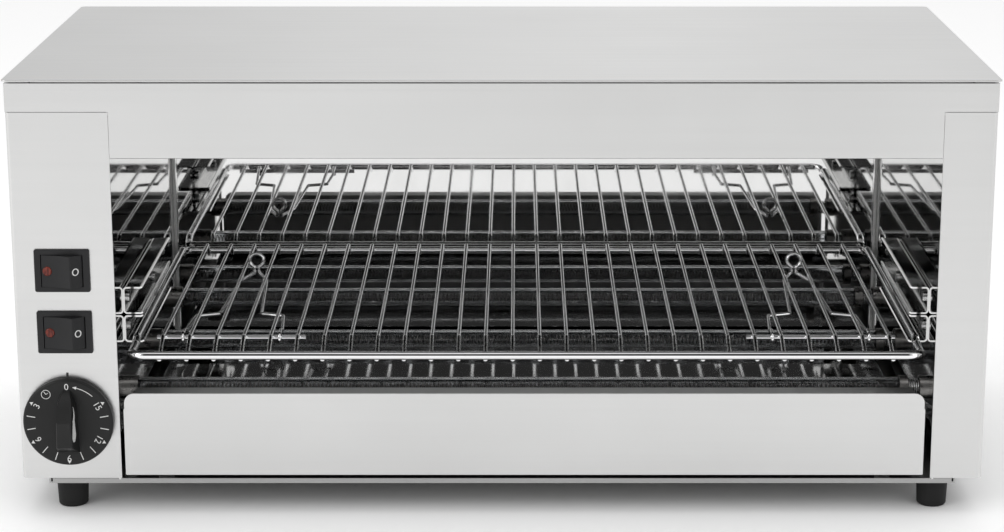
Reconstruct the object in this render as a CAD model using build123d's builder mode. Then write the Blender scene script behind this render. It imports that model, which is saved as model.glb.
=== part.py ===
"""Counter-top quartz grill: open-fronted steel cabinet with a wire rack, a crumb tray and a timer.

Units are millimetres. X runs to the right, Y to the back and Z up. The origin lies under the middle
of the whole object, on the surface that it stands on. Depths are counted from the front panels.
"""

from build123d import *
from math import acos, asin, atan2, ceil, cos, pi, sin, sqrt
import os

os.makedirs("parts", exist_ok=True)

# Cabinet
BODY_WIDTH = 567.6
BODY_DEPTH = 270.0
HEIGHT = 262.0
SHEET = 1.0
BEND = 1.6  # radius at the middle of a bent sheet
EDGE_SHARE = 0.4  # rounding of a cut edge, as a share of its sheet
BENT_EDGE_SHARE = 0.8  # rounding of an edge bent over, as a share of its sheet
SEAM = 0.3  # gap between two panels that meet edge to edge
CONTROL_WIDTH = 58.7  # front face of the left side panel
POST_WIDTH = 30.5  # front face of the right side panel
COVER_OVERHANG = 1.4
COVER_GAP = 1.2  # shadow gap under the lid
COVER_CORNER = 3.0
RIM_INSET = 5.0
RIM_WIDTH = 7.0
FASCIA_DROP = 46.1  # lid's top to the fascia's lower edge
SEAM_DROP = 19.0  # lid's top to the side panels' upper front edge
TAB_FROM_TOP = 3.0
TAB_FROM_BOTTOM = 5.0
PANEL_BOTTOM = 22.6
RETURN = 12.8  # flange along the top and back edges

# Stand
FOOT_HEIGHT = 18.0
FOOT_TOP_RADIUS = 9.5
FOOT_BOTTOM_RADIUS = 8.7
FOOT_ROUND = 1.6
FOOT_INSET_X = 25.8  # foot's centre to the cabinet's side
FOOT_INSET_DEPTH = 20.0
FOOT_SCREW_RADIUS = 2.0
FOOT_HEAD_RADIUS = 4.0
FOOT_HEAD_HEIGHT = 2.8
FOOT_POCKET_DEPTH = 6.0
FOOT_SCREW_RISE = 3.0
BASE_STEP = 15.8  # base pan's sunk part to the cabinet's side
BASE_SETBACK = 4.0
BASE_LIP = 3.0
BASE_FLANGE = 22.0
BASE_REAR_INSET = 1.0

# Cooking space
LINER_SETBACK_LEFT = 1.1  # opening's edge to the liner's polished face
LINER_SETBACK_RIGHT = 1.3
LINER_FRONT_GAP = 0.2  # fascia's tabs to the liners' front edges
REAR_SPACE = 8.0  # liner's back face to the outside of the rear panel
ROOF_DROP = 16.0  # lid's top to the underside of the reflector
LINER_FLANGE = 10.8
LINER_BEND = 3.5  # rear liner's corners, at the middle of the sheet
REAR_RETURN = 7.0  # rear liner's short sides, from its polished face

# Crumb tray
TRAY_GAP_LEFT = 2.9
TRAY_GAP_RIGHT = 4.9
TRAY_FRONT_BOTTOM = 24.6
TRAY_FRONT_TOP = 74.9
TRAY_CORNER = 6.0
TRAY_SIDE_FLANGE_TOP = 65.0
TRAY_FLANGE_DEPTH = 12.0
TRAY_SIDE_PROUD = 0.6
TRAY_LIFT = 1.0  # pan's underside above the front's lower edge
TRAY_WALL = 12.4
TRAY_REAR_GAP = 7.0
RUNNER_WIDTH = 9.0
RUNNER_INSET = 22.0
RUNNER_FRONT = 10.0
RUN_GAP = 0.2  # running clearance of what slides

# Rack
FRAME_WIRE = 5.0
CROSS_WIRE = 2.5
ROD_WIRE = 3.2
WIRE_COUNT = 28
WIRE_EDGE_GAP = 16.7  # side rail to the outermost cross wire
RAIL_INSET = 7.7  # side rail to the liner
RAIL_Z = 99.4
BAR_Z = 96.5
FRONT_CORNER = 8.0
REAR_CORNER = 5.0
FRONT_BAR_DEPTH = 6.0
REAR_BAR_GAP = 7.0  # rear bar to the rear liner
FRONT_DIP = 23.0  # bar to the lower end of the rail's step
REAR_DIP = 7.0
DIP_RUN = 5.0
DIP_RADIUS = 5.0
FRONT_BEND = 20.8  # front bar to the bend of the cross wires
REAR_BEND = 7.6
CROSS_BEND_RADIUS = 3.0
WELD = 0.5
ROD_DEPTH = 34.0
ROD_OVERHANG = 4.4
ROD_SPAN = 5  # wire gaps that a rod crosses

# Rack clips
CLIP_WIRE = 2.2
CLIP_CLEARANCE = 0.1
CLIP_AFTER = 2  # the clip stands between this cross wire and the next, counted from the side
CLIP_HOOK_GAP = 2.5  # hook to the cross wire inside it
CLIP_LEG_HALF = 26.7
CLIP_JOG_HALF = 12.7
CLIP_MIDDLE_HALF = 8.4
CLIP_NECK_HALF = 1.5
CLIP_JOG_DEPTH = 80.0
CLIP_JOG_RUN = 5.0
CLIP_MIDDLE_DEPTH = 163.0
CLIP_NECK_DEPTH = 183.0
CLIP_RING_RADIUS = 4.5
CLIP_RING_Z = 108.0
CLIP_FLARE = 1.5
CLIP_BEND = 1.7

# Rack guides
GUIDE_START = 36.0
GUIDE_END = 156.0
GUIDE_LIP = 11.5
GUIDE_HEIGHT = 16.7
GUIDE_SPACING = 17.5
GUIDE_BEND = 1.8
GUIDE_FLARE = 1.2
GUIDE_SCREW_INSET = 9.0
GUIDE_SCREW_RADIUS = 1.9
GUIDE_HEAD_RADIUS = 3.4
GUIDE_HEAD_HEIGHT = 1.8
GUIDE_NUT_RADIUS = 3.6
GUIDE_NUT_HEIGHT = 2.6
SCREW_CLEARANCE = 0.15

# Quartz tubes
TUBE_RADIUS = 6.0
TUBE_WALL = 1.0
TUBE_CUP_CLEARANCE = 0.1
LOWER_TUBE_Z = 69.6
UPPER_TUBE_RISE = 12.1  # fascia's lower edge to the upper tubes' axes
TUBE_INSET = 30.0
COIL_RADIUS = 3.0
COIL_PIN_RADIUS = 1.0
COIL_MARGIN = 8.0
CUP_WALL = 0.9
LEFT_CUP = 8.5
LEFT_CUP_FLOOR = 2.0
RIGHT_CUP = 5.0
RIGHT_CUP_FLOOR = 0.6
RIGHT_CUP_POCKET = 1.4  # pocket that the spring sits in
HOLDER_LENGTH = 5.2
HOLDER_POCKET = 1.5
SPRING_CLEARANCE = 0.65  # spring's outside to its pocket's wall
SPRING_SHOWN = 7.0
SPRING_WIRE = 0.9
SPRING_RADIUS = 4.5
SPRING_TURNS = 4.5
SPRING_TURN_IN = 1.0
SPIGOT_RADIUS = 4.0
SPIGOT_LENGTH = 3.0
SPIGOT_CLEARANCE = 0.15
TERMINAL_RADIUS = 1.5
TERMINAL_LENGTH = 2.0
BUS_BAR_HEIGHT = 8.0
BUS_BAR_THICK = 0.8
BUS_BAR_END = 6.0

# Timer and its knob
TIMER_Z = 58.8
TIMER_LEFT = 29.1  # knob's axis to the cabinet's left side
KNOB_OUT = 20.0
KNOB_RADIUS = 26.5
KNOB_GAP = 1.0
KNOB_SKIRT = 4.6
KNOB_RIM = 0.8
KNOB_POCKET_RADIUS = 21.0
KNOB_POCKET = 2.4
GRIP_BOTTOM = 18.6
GRIP_FLAT_BOTTOM = 11.0
GRIP_FLAT_TOP = 4.0
GRIP_TIP = 19.8
GRIP_TIP_OUT = 6.6
GRIP_SHOULDER = 15.6
GRIP_HALF_TOP = 4.2
GRIP_HALF_BOTTOM = 4.9
GRIP_TAPER = 6.0
GRIP_WAIST = 0.86  # half width half way up to the tip, as a share of the half width at the top
GRIP_WAIST_RISE = 1.0
CREST_ROUND = 1.0
SHAFT_RADIUS = 3.0
SHAFT_CLEARANCE = 0.05
SHAFT_PANEL_GAP = 1.0
SHAFT_INSIDE = 14.0
SHAFT_IN_KNOB = 13.0
TIMER_WIDTH = 38.0
TIMER_HEIGHT = 40.0
TIMER_DEPTH = 30.0
TIMER_CORNER = 2.0
TIMER_SCREW_SPACING = 28.0
TIMER_SCREW_RADIUS = 1.9
TIMER_HEAD_RADIUS = 3.4
TIMER_HEAD_HEIGHT = 1.6
TIMER_SCREW_INSIDE = 6.0

# Rocker switches
SWITCH_LEFT = 28.9  # switch's axis to the cabinet's left side
SWITCH_LEVELS = {"upper": 149.8, "lower": 112.7}
BEZEL_WIDTH = 32.1
BEZEL_HEIGHT = 25.5
BEZEL_THICK = 1.6
BEZEL_CORNER = 1.2
CASE_WIDTH = 29.4
CASE_HEIGHT = 22.0
CASE_DEPTH = 20.0
CUTOUT_CLEARANCE = 0.2
MOUTH_WIDTH = 24.6
MOUTH_HEIGHT = 19.4
WELL_WIDTH = 27.0
WELL_DEPTH = 16.0
PIVOT_BEHIND_BEZEL = 3.0
ROCKER_CLEARANCE = 0.25
ROCKER_END_GAP = 0.15
ROCKER_BELLY = 5.0
RIDGE_X = 5.5
RIDGE_OUT = 5.0
FACET_LEFT_OUT = 0.3
FACET_MIDDLE_OUT = 1.5
FACET_RIGHT_OUT = -0.6
PIVOT_PIN_RADIUS = 1.5
PIVOT_PIN_LENGTH = 1.0
PIVOT_CLEARANCE = 0.05
RIDGE_ROUND = 1.0
LENS_X = -8.4
LENS_RADIUS = 2.8
LENS_SEAT = 2.0
LENS_OUT = 1.1
LENS_ROUND = 0.88
BLADE_WIDTH = 0.8
BLADE_HEIGHT = 6.3
BLADE_LENGTH = 8.0
BLADE_SPACING = 7.0

# Supply inlet and inner wiring
GLAND_OUT = 20.0
GLAND_Z = 60.0
GLAND_LEFT = 29.0
GLAND_THREAD_RADIUS = 8.0
GLAND_HOLE_CLEARANCE = 0.2
GLAND_BORE_RADIUS = 5.4
GLAND_HEX = 22.0
GLAND_HEX_THICK = 5.0
GLAND_STEM_OUT = 9.0
GLAND_INSIDE = 9.0
GLAND_DOME_RADIUS = 10.4
GLAND_DOME_THREAD_GAP = 0.1
GLAND_MOUTH_RADIUS = 5.0
GLAND_LOCK_THICK = 4.0
SEAL_LENGTH = 12.0
SEAL_BORE_RADIUS = 4.3
BLOCK_WIDTH = 24.0
BLOCK_DEPTH = 26.0
BLOCK_HEIGHT = 18.0
BLOCK_REAR_GAP = 32.0
BLOCK_WAYS = 3
BLOCK_PITCH = 7.0
LEAD_RADIUS = 1.5
LEAD_BEND = 8.0
LEAD_LEVEL = 9.0
LEAD_TURN_GAP = 16.0
EARTH_RADIUS = 2.5
EARTH_HEIGHT = 16.0
EARTH_NUT_FLATS = 8.0
EARTH_NUT_HEIGHT = 4.0
EARTH_AHEAD = 21.0  # stud's axis to the terminal block's front
SHIELD_GAP = 6.2  # liner to the heat shield
SHIELD_THICK = 0.8
SHIELD_START = 20.0
SHIELD_END = 205.0
SHIELD_TOP = 200.0

# Vents and rear screws
SLOT_LENGTH = 22.0
SLOT_WIDTH = 3.0
SLOT_PITCH = 8.0
BASE_VENT_DEPTHS = (94.0, 148.0)
BASE_VENT_COUNT = 3
SIDE_VENT_RISE = 60.0  # foot's top to the lower row
SIDE_VENT_DROP = 79.0  # lid's top to the upper row
SIDE_VENT_COUNT = 9
REAR_VENT_DROPS = (74.0, 131.0)  # lid's top to each row
REAR_VENT_COUNT = 40
REAR_CONTROL_VENT_COUNT = 4
CASE_SCREW_DROP = 40.0
CASE_SCREW_RISE = 74.0
CASE_SCREW_RADIUS = 1.9
CASE_HEAD_RADIUS = 3.5
CASE_HEAD_HEIGHT = 2.0
CASE_SCREW_LENGTH = 6.0

# Places that follow from the sizes above
FRONT = (KNOB_OUT - GLAND_OUT - BODY_DEPTH) / 2
HALF_WIDTH = BODY_WIDTH / 2
SIDE_INNER = HALF_WIDTH - SHEET
SHELL_TOP = HEIGHT - SHEET - COVER_GAP
SEAM_Z = HEIGHT - SEAM_DROP
FASCIA_BOTTOM = HEIGHT - FASCIA_DROP
ROOF_Z = HEIGHT - ROOF_DROP
FLOOR_TOP = FOOT_HEIGHT + SHEET
BASE_SUNK_HALF = HALF_WIDTH - BASE_STEP
REAR_INNER = BODY_DEPTH - SHEET
OPENING_LEFT = -HALF_WIDTH + CONTROL_WIDTH
OPENING_RIGHT = HALF_WIDTH - POST_WIDTH
CAVITY_LEFT = OPENING_LEFT - LINER_SETBACK_LEFT
CAVITY_RIGHT = OPENING_RIGHT + LINER_SETBACK_RIGHT
CAVITY_MIDDLE = (CAVITY_LEFT + CAVITY_RIGHT) / 2
CAVITY_HALF = (CAVITY_RIGHT - CAVITY_LEFT) / 2
CAVITY_DEPTH = BODY_DEPTH - REAR_SPACE
LINER_FRONT = 2 * SHEET + LINER_FRONT_GAP
REAR_SIDE_START = CAVITY_DEPTH - REAR_RETURN
LINER_END = REAR_SIDE_START - SEAM
UPPER_TUBE_Z = FASCIA_BOTTOM + UPPER_TUBE_RISE
TUBE_REAR = CAVITY_DEPTH - TUBE_INSET
TUBE_DEPTHS = {"front": TUBE_INSET, "middle": (TUBE_INSET + TUBE_REAR) / 2, "rear": TUBE_REAR}
TUBE_LEVELS = {"upper": UPPER_TUBE_Z, "lower": LOWER_TUBE_Z}
CUP_RADIUS = TUBE_RADIUS + TUBE_CUP_CLEARANCE + CUP_WALL
SPRING_POCKET_RADIUS = SPRING_RADIUS + SPRING_WIRE / 2 + SPRING_CLEARANCE
ROCKER_END_RADIUS = MOUTH_WIDTH / 2 - ROCKER_END_GAP
RAIL_HALF = CAVITY_HALF - RAIL_INSET
WIRE_PITCH = 2 * (RAIL_HALF - WIRE_EDGE_GAP) / (WIRE_COUNT - 1)
CLIP_HOOK_HALF = 1.5 * WIRE_PITCH + (CROSS_WIRE + CLIP_WIRE) / 2 + CLIP_HOOK_GAP
REAR_BAR_DEPTH = CAVITY_DEPTH - REAR_BAR_GAP
CROSS_Z = RAIL_Z + (ROD_WIRE + CROSS_WIRE) / 2 - WELD / 2
LOWER_GUIDE_Z = RAIL_Z - FRAME_WIRE / 2 - RUN_GAP / 2 - SHEET
GUIDE_LEVELS = {"lower": LOWER_GUIDE_Z, "upper": LOWER_GUIDE_Z + GUIDE_SPACING}
TIMER_X = -HALF_WIDTH + TIMER_LEFT
SWITCH_X = -HALF_WIDTH + SWITCH_LEFT
GLAND_X = -HALF_WIDTH + GLAND_LEFT
BLOCK_FRONT = REAR_INNER - BLOCK_REAR_GAP - BLOCK_DEPTH
EARTH_DEPTH = BLOCK_FRONT - EARTH_AHEAD
TRAY_LEFT = OPENING_LEFT + TRAY_GAP_LEFT
TRAY_RIGHT = OPENING_RIGHT - TRAY_GAP_RIGHT
TRAY_FLOOR = TRAY_FRONT_BOTTOM + TRAY_LIFT
TRAY_REAR = CAVITY_DEPTH - TRAY_REAR_GAP


def at(depth):
    """Y of what lies this far behind the front panels."""
    return FRONT + depth


def facing(depth):
    """Plane at this depth, seen from the front, with X to the right and Z up."""
    return Plane(origin=(0, at(depth), 0), x_dir=(1, 0, 0), z_dir=(0, -1, 0))


def sideways(x):
    """Plane at this X, with Y to the right and Z up."""
    return Plane(origin=(x, 0, 0), x_dir=(0, 1, 0), z_dir=(1, 0, 0))


def block(x_span, depth_span, z_span, mode=Mode.ADD):
    """Add a box from its three spans, the middle one in depths."""
    spans = (x_span, [at(depth) for depth in depth_span], z_span)
    with Locations(tuple(sum(span) / 2 for span in spans)):
        Box(*[abs(span[1] - span[0]) for span in spans], mode=mode)


def bar_x(x_span, depth, z, radius, mode=Mode.ADD):
    """Add a round bar along X."""
    with Locations((sum(x_span) / 2, at(depth), z)):
        Cylinder(radius, abs(x_span[1] - x_span[0]), rotation=(0, 90, 0), mode=mode)


def bar_y(x, depth_span, z, radius, mode=Mode.ADD):
    """Add a round bar along Y."""
    with Locations((x, at(sum(depth_span) / 2), z)):
        Cylinder(radius, abs(depth_span[1] - depth_span[0]), rotation=(90, 0, 0), mode=mode)


def bar_z(x, depth, z_span, radius, mode=Mode.ADD):
    """Add a round bar along Z."""
    with Locations((x, at(depth), sum(z_span) / 2)):
        Cylinder(radius, abs(z_span[1] - z_span[0]), mode=mode)


def cut_slots(plane, middle, count):
    """Cut a row of upright vent slots through the sheet at a plane."""
    with BuildSketch(plane) as slots:
        with Locations(middle):
            with GridLocations(SLOT_PITCH, 0, count, 1):
                SlotOverall(SLOT_LENGTH, SLOT_WIDTH, rotation=90)
    extrude(slots.sketch, amount=2 * SHEET, both=True, mode=Mode.SUBTRACT)


def save(piece, name):
    """Label a finished piece and write it."""
    piece.part.label = name
    export_step(piece.part, f"parts/{name}.step")


def case_screw_places():
    """X and Z of the screws in the rear panel."""
    return [
        (side * x, z)
        for side in (-1, 1)
        for x, z in (
            (SIDE_INNER - RETURN / 2, HEIGHT - CASE_SCREW_DROP),
            (SIDE_INNER - RETURN / 2, FOOT_HEIGHT + CASE_SCREW_RISE),
            (BASE_SUNK_HALF / 2, (PANEL_BOTTOM + FOOT_HEIGHT + BASE_FLANGE) / 2),
        )
    ]


def make_base_pan():
    """Bottom sheet: sunk middle on the feet, stepped flanges at the sides, two tray runners."""
    upright = SIDE_INNER - SHEET / 2
    ledge = PANEL_BOTTOM + SHEET / 2
    sunk = BASE_SUNK_HALF + SHEET / 2
    flange_top = FOOT_HEIGHT + BASE_FLANGE
    with BuildPart() as base_pan:
        with BuildSketch(facing(BASE_SETBACK)):
            with BuildLine():
                Polyline(
                    (-upright, flange_top),
                    (-upright, ledge),
                    (-sunk, ledge),
                    (-sunk, FOOT_HEIGHT + SHEET / 2),
                    (sunk, FOOT_HEIGHT + SHEET / 2),
                    (sunk, ledge),
                    (upright, ledge),
                    (upright, flange_top),
                )
            trace(line_width=SHEET)
        extrude(amount=-(REAR_INNER - SHEET - BASE_SETBACK))
        inner = BASE_SUNK_HALF - BASE_REAR_INSET
        block(
            (-inner, inner),
            (BASE_SETBACK, BASE_SETBACK + SHEET),
            (FOOT_HEIGHT, FOOT_HEIGHT + BASE_LIP),
        )
        block((-inner, inner), (REAR_INNER - SHEET, REAR_INNER), (FOOT_HEIGHT, flange_top))
        for side in (-1, 1):
            block(
                sorted((side * (BASE_SUNK_HALF + SHEET), side * HALF_WIDTH)),
                (REAR_INNER - SHEET - BEND, REAR_INNER),
                (FOOT_HEIGHT, flange_top),
                mode=Mode.SUBTRACT,
            )
        for x in (TRAY_LEFT + RUNNER_INSET, TRAY_RIGHT - RUNNER_INSET):
            block(
                (x - RUNNER_WIDTH / 2, x + RUNNER_WIDTH / 2),
                (RUNNER_FRONT, TRAY_REAR),
                (FLOOR_TOP, TRAY_FLOOR - RUN_GAP),
            )
        for x, depth in foot_places().values():
            bar_z(
                x,
                depth,
                (FOOT_HEIGHT - SHEET, FLOOR_TOP + SHEET),
                FOOT_SCREW_RADIUS + SCREW_CLEARANCE,
                mode=Mode.SUBTRACT,
            )
        for x, z in case_screw_places():
            bar_y(
                x,
                (REAR_INNER - 2 * SHEET, BODY_DEPTH),
                z,
                CASE_SCREW_RADIUS + SCREW_CLEARANCE,
                mode=Mode.SUBTRACT,
            )
        floor_plane = Plane.XY.offset(FOOT_HEIGHT + SHEET / 2)
        for depth in BASE_VENT_DEPTHS:
            cut_slots(floor_plane, (TIMER_X, at(depth)), BASE_VENT_COUNT)
    save(base_pan, "base_pan")


def make_top_cover():
    """Flat lid that overhangs the cabinet, with an inner rim that rests on the panels' flanges."""
    overhang = HALF_WIDTH + COVER_OVERHANG
    rim_half = SIDE_INNER - RIM_INSET + RIM_WIDTH / 2
    rim_front = 2 * SHEET + RIM_WIDTH / 2
    rim_rear = REAR_INNER - RIM_INSET + RIM_WIDTH / 2
    with BuildPart() as top_cover:
        block(
            (-overhang, overhang),
            (-COVER_OVERHANG, BODY_DEPTH + COVER_OVERHANG),
            (HEIGHT - SHEET, HEIGHT),
        )
        fillet(top_cover.edges().filter_by(Axis.Z), COVER_CORNER)
        fillet(top_cover.faces().sort_by(Axis.Z)[-1].edges(), SHEET * EDGE_SHARE)
        block((-rim_half, rim_half), (rim_front, rim_rear), (SHELL_TOP, HEIGHT - SHEET))
        block(
            (-rim_half + RIM_WIDTH, rim_half - RIM_WIDTH),
            (rim_front + RIM_WIDTH, rim_rear - RIM_WIDTH),
            (SHELL_TOP, HEIGHT - SHEET),
            mode=Mode.SUBTRACT,
        )
    save(top_cover, "top_cover")


def make_front_fascia():
    """Strip across the top of the front, deeper above the opening, with folded edges."""
    tab_top = SEAM_Z - TAB_FROM_TOP
    tab_bottom = FASCIA_BOTTOM + TAB_FROM_BOTTOM
    flange_half = SIDE_INNER - RETURN - SHEET
    with BuildPart() as front_fascia:
        block((-HALF_WIDTH, HALF_WIDTH), (0, SHEET), (SEAM_Z + SEAM, SHELL_TOP))
        block(
            (OPENING_LEFT + SEAM, OPENING_RIGHT - SEAM),
            (0, SHEET),
            (FASCIA_BOTTOM, SEAM_Z + SEAM),
        )
        block((-flange_half, flange_half), (SHEET, SHEET + RETURN), (SHELL_TOP - SHEET, SHELL_TOP))
        block(
            (OPENING_LEFT + SEAM, OPENING_RIGHT - SEAM),
            (SHEET, SHEET + RETURN),
            (FASCIA_BOTTOM, FASCIA_BOTTOM + SHEET),
        )
        for edge, outward in ((OPENING_LEFT, -1), (OPENING_RIGHT, 1)):
            inner = edge - outward * RETURN
            outer = edge + outward * RETURN
            block(sorted((inner, outer)), (SHEET, 2 * SHEET), (tab_bottom, tab_top))
        lower_front = front_fascia.edges().filter_by(Axis.X).group_by(Axis.Y)[0].sort_by(Axis.Z)[0]
        fillet(lower_front, SHEET * BENT_EDGE_SHARE)
    save(front_fascia, "front_fascia")


def side_panel(side):
    """One bent sheet: front face, side wall and rear flange; side is -1 for left and 1 for right."""
    inner_edge = OPENING_LEFT if side < 0 else OPENING_RIGHT
    middle = HALF_WIDTH - SHEET / 2
    with BuildPart() as panel:
        with BuildSketch(Plane.XY.offset(PANEL_BOTTOM)):
            with BuildLine():
                FilletPolyline(
                    (inner_edge, at(SHEET / 2)),
                    (side * middle, at(SHEET / 2)),
                    (side * middle, at(REAR_INNER - SHEET / 2)),
                    (side * (SIDE_INNER - RETURN), at(REAR_INNER - SHEET / 2)),
                    radius=BEND,
                )
            trace(line_width=SHEET)
        extrude(amount=SHELL_TOP - PANEL_BOTTOM)
        block(
            sorted((side * (HALF_WIDTH + SHEET), inner_edge - side * SHEET)),
            (-SHEET, SHEET + BEND),
            (SEAM_Z, HEIGHT),
            mode=Mode.SUBTRACT,
        )
        wall = sorted((side * SIDE_INNER, side * HALF_WIDTH))
        block(wall, (SHEET, SHEET + BEND), (SEAM_Z, SHELL_TOP))
        flange = sorted((side * SIDE_INNER, side * (SIDE_INNER - RETURN)))
        block(flange, (SHEET, REAR_INNER), (SHELL_TOP - SHEET, SHELL_TOP))
        base_top = FOOT_HEIGHT + BASE_FLANGE
        block(flange, (REAR_INNER - SHEET, REAR_INNER), (PANEL_BOTTOM, base_top), mode=Mode.SUBTRACT)
        for x, z in case_screw_places():
            bar_y(
                x,
                (REAR_INNER - 2 * SHEET, BODY_DEPTH),
                z,
                CASE_SCREW_RADIUS + SCREW_CLEARANCE,
                mode=Mode.SUBTRACT,
            )
    return panel


def make_side_panels():
    """Left panel with the control cut-outs and side vents, and the plain right panel."""
    with side_panel(-1) as left_side_panel:
        for z in SWITCH_LEVELS.values():
            half_width = CASE_WIDTH / 2 + CUTOUT_CLEARANCE
            half_height = CASE_HEIGHT / 2 + CUTOUT_CLEARANCE
            block(
                (SWITCH_X - half_width, SWITCH_X + half_width),
                (-SHEET, 2 * SHEET),
                (z - half_height, z + half_height),
                mode=Mode.SUBTRACT,
            )
        shaft_hole = SHAFT_RADIUS + SHAFT_PANEL_GAP
        bar_y(TIMER_X, (-SHEET, 2 * SHEET), TIMER_Z, shaft_hole, mode=Mode.SUBTRACT)
        for x in timer_screw_places():
            hole = TIMER_SCREW_RADIUS + SCREW_CLEARANCE
            bar_y(x, (-SHEET, 2 * SHEET), TIMER_Z, hole, mode=Mode.SUBTRACT)
        for z in (FOOT_HEIGHT + SIDE_VENT_RISE, HEIGHT - SIDE_VENT_DROP):
            cut_slots(sideways(-HALF_WIDTH + SHEET / 2), (at(BODY_DEPTH / 2), z), SIDE_VENT_COUNT)
    save(left_side_panel, "left_side_panel")
    save(side_panel(1), "right_side_panel")


def make_rear_panel():
    """Back sheet with vents behind the controls and the hole of the cable gland."""
    with BuildPart() as rear_panel:
        block((-HALF_WIDTH, HALF_WIDTH), (REAR_INNER, BODY_DEPTH), (PANEL_BOTTOM, SHELL_TOP))
        block(
            (-SIDE_INNER + RETURN + SHEET, SIDE_INNER - RETURN - SHEET),
            (REAR_INNER - RETURN, REAR_INNER),
            (SHELL_TOP - SHEET, SHELL_TOP),
        )
        hole = GLAND_THREAD_RADIUS + GLAND_HOLE_CLEARANCE
        bar_y(GLAND_X, (REAR_INNER - SHEET, BODY_DEPTH + SHEET), GLAND_Z, hole, mode=Mode.SUBTRACT)
        for x, z in case_screw_places():
            radius = CASE_SCREW_RADIUS + SCREW_CLEARANCE
            bar_y(x, (REAR_INNER - SHEET, BODY_DEPTH + SHEET), z, radius, mode=Mode.SUBTRACT)
        back = facing(BODY_DEPTH - SHEET / 2)
        for drop in REAR_VENT_DROPS:
            cut_slots(back, (GLAND_X, HEIGHT - drop), REAR_CONTROL_VENT_COUNT)
            cut_slots(back, (CAVITY_MIDDLE, HEIGHT - drop), REAR_VENT_COUNT)
    save(rear_panel, "rear_panel")


def make_case_screws():
    """Pan-head screws that hold the rear panel."""
    with BuildPart() as case_screws:
        for x, z in case_screw_places():
            bar_y(x, (BODY_DEPTH, BODY_DEPTH + CASE_HEAD_HEIGHT), z, CASE_HEAD_RADIUS)
            bar_y(x, (BODY_DEPTH - CASE_SCREW_LENGTH, BODY_DEPTH), z, CASE_SCREW_RADIUS)
        heads = case_screws.edges().group_by(Axis.Y)[-1]
        fillet(heads, CASE_HEAD_HEIGHT / 3)
    save(case_screws, "case_screws")


def tube_places():
    """Depth and height of each quartz tube by its row and place."""
    return {
        (row, place): (depth, z)
        for row, z in TUBE_LEVELS.items()
        for place, depth in TUBE_DEPTHS.items()
    }


def side_liner(side):
    """Polished side wall with flanges that turn away from the cooking space."""
    face = CAVITY_LEFT if side < 0 else CAVITY_RIGHT
    sheet_span = sorted((face, face + side * SHEET))
    flange_span = sorted((face + side * SHEET, face + side * (SHEET + LINER_FLANGE)))
    with BuildPart() as liner:
        block(sheet_span, (LINER_FRONT, LINER_END), (FLOOR_TOP, ROOF_Z))
        for level in (FLOOR_TOP, ROOF_Z - SHEET):
            block(flange_span, (LINER_FRONT, LINER_END), (level, level + SHEET))
        through = sorted((face - side * SHEET, face + 2 * side * SHEET))
        for depth, z in tube_places().values():
            bar_x(through, depth, z, SPIGOT_RADIUS + SPIGOT_CLEARANCE, mode=Mode.SUBTRACT)
        for depth, z in guide_screw_places():
            bar_x(through, depth, z, GUIDE_SCREW_RADIUS + SCREW_CLEARANCE, mode=Mode.SUBTRACT)
        for x, depth in foot_places().values():
            hole = FOOT_SCREW_RADIUS + 2 * SCREW_CLEARANCE
            bar_z(x, depth, (FOOT_HEIGHT, FLOOR_TOP + SHEET), hole, mode=Mode.SUBTRACT)
        block(
            sorted((face - side * SHEET, face + 2 * side * LINER_FLANGE)),
            (0, BASE_SETBACK + SHEET),
            (FOOT_HEIGHT, FOOT_HEIGHT + BASE_LIP),
            mode=Mode.SUBTRACT,
        )
    return liner


def make_liners():
    """Side, rear and roof sheets of the cooking space."""
    save(side_liner(-1), "cavity_left_wall")
    save(side_liner(1), "cavity_right_wall")
    outer = (CAVITY_LEFT - SHEET, CAVITY_RIGHT + SHEET)
    with BuildPart() as cavity_rear_wall:
        with BuildSketch(Plane.XY.offset(FLOOR_TOP)):
            with BuildLine():
                FilletPolyline(
                    (CAVITY_LEFT - SHEET / 2, at(REAR_SIDE_START)),
                    (CAVITY_LEFT - SHEET / 2, at(CAVITY_DEPTH + SHEET / 2)),
                    (CAVITY_RIGHT + SHEET / 2, at(CAVITY_DEPTH + SHEET / 2)),
                    (CAVITY_RIGHT + SHEET / 2, at(REAR_SIDE_START)),
                    radius=LINER_BEND,
                )
            trace(line_width=SHEET)
        extrude(amount=ROOF_Z - FLOOR_TOP)
        foot_span = (CAVITY_LEFT + LINER_BEND, CAVITY_RIGHT - LINER_BEND)
        rear_foot = (CAVITY_DEPTH + SHEET, REAR_INNER - SHEET)
        block(foot_span, rear_foot, (FLOOR_TOP, FLOOR_TOP + SHEET))
    save(cavity_rear_wall, "cavity_rear_wall")
    with BuildPart() as upper_reflector:
        block(
            (outer[0] - LINER_FLANGE, outer[1] + LINER_FLANGE),
            (SHEET, CAVITY_DEPTH + SHEET),
            (ROOF_Z, ROOF_Z + SHEET),
        )
    save(upper_reflector, "upper_reflector")


def guide_screw_places():
    """Depth and height of the guide screws, the same on both sides."""
    return [
        (depth, level + GUIDE_HEIGHT / 2)
        for depth in (GUIDE_START + GUIDE_SCREW_INSET, GUIDE_END - GUIDE_SCREW_INSET)
        for level in GUIDE_LEVELS.values()
    ]


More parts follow.
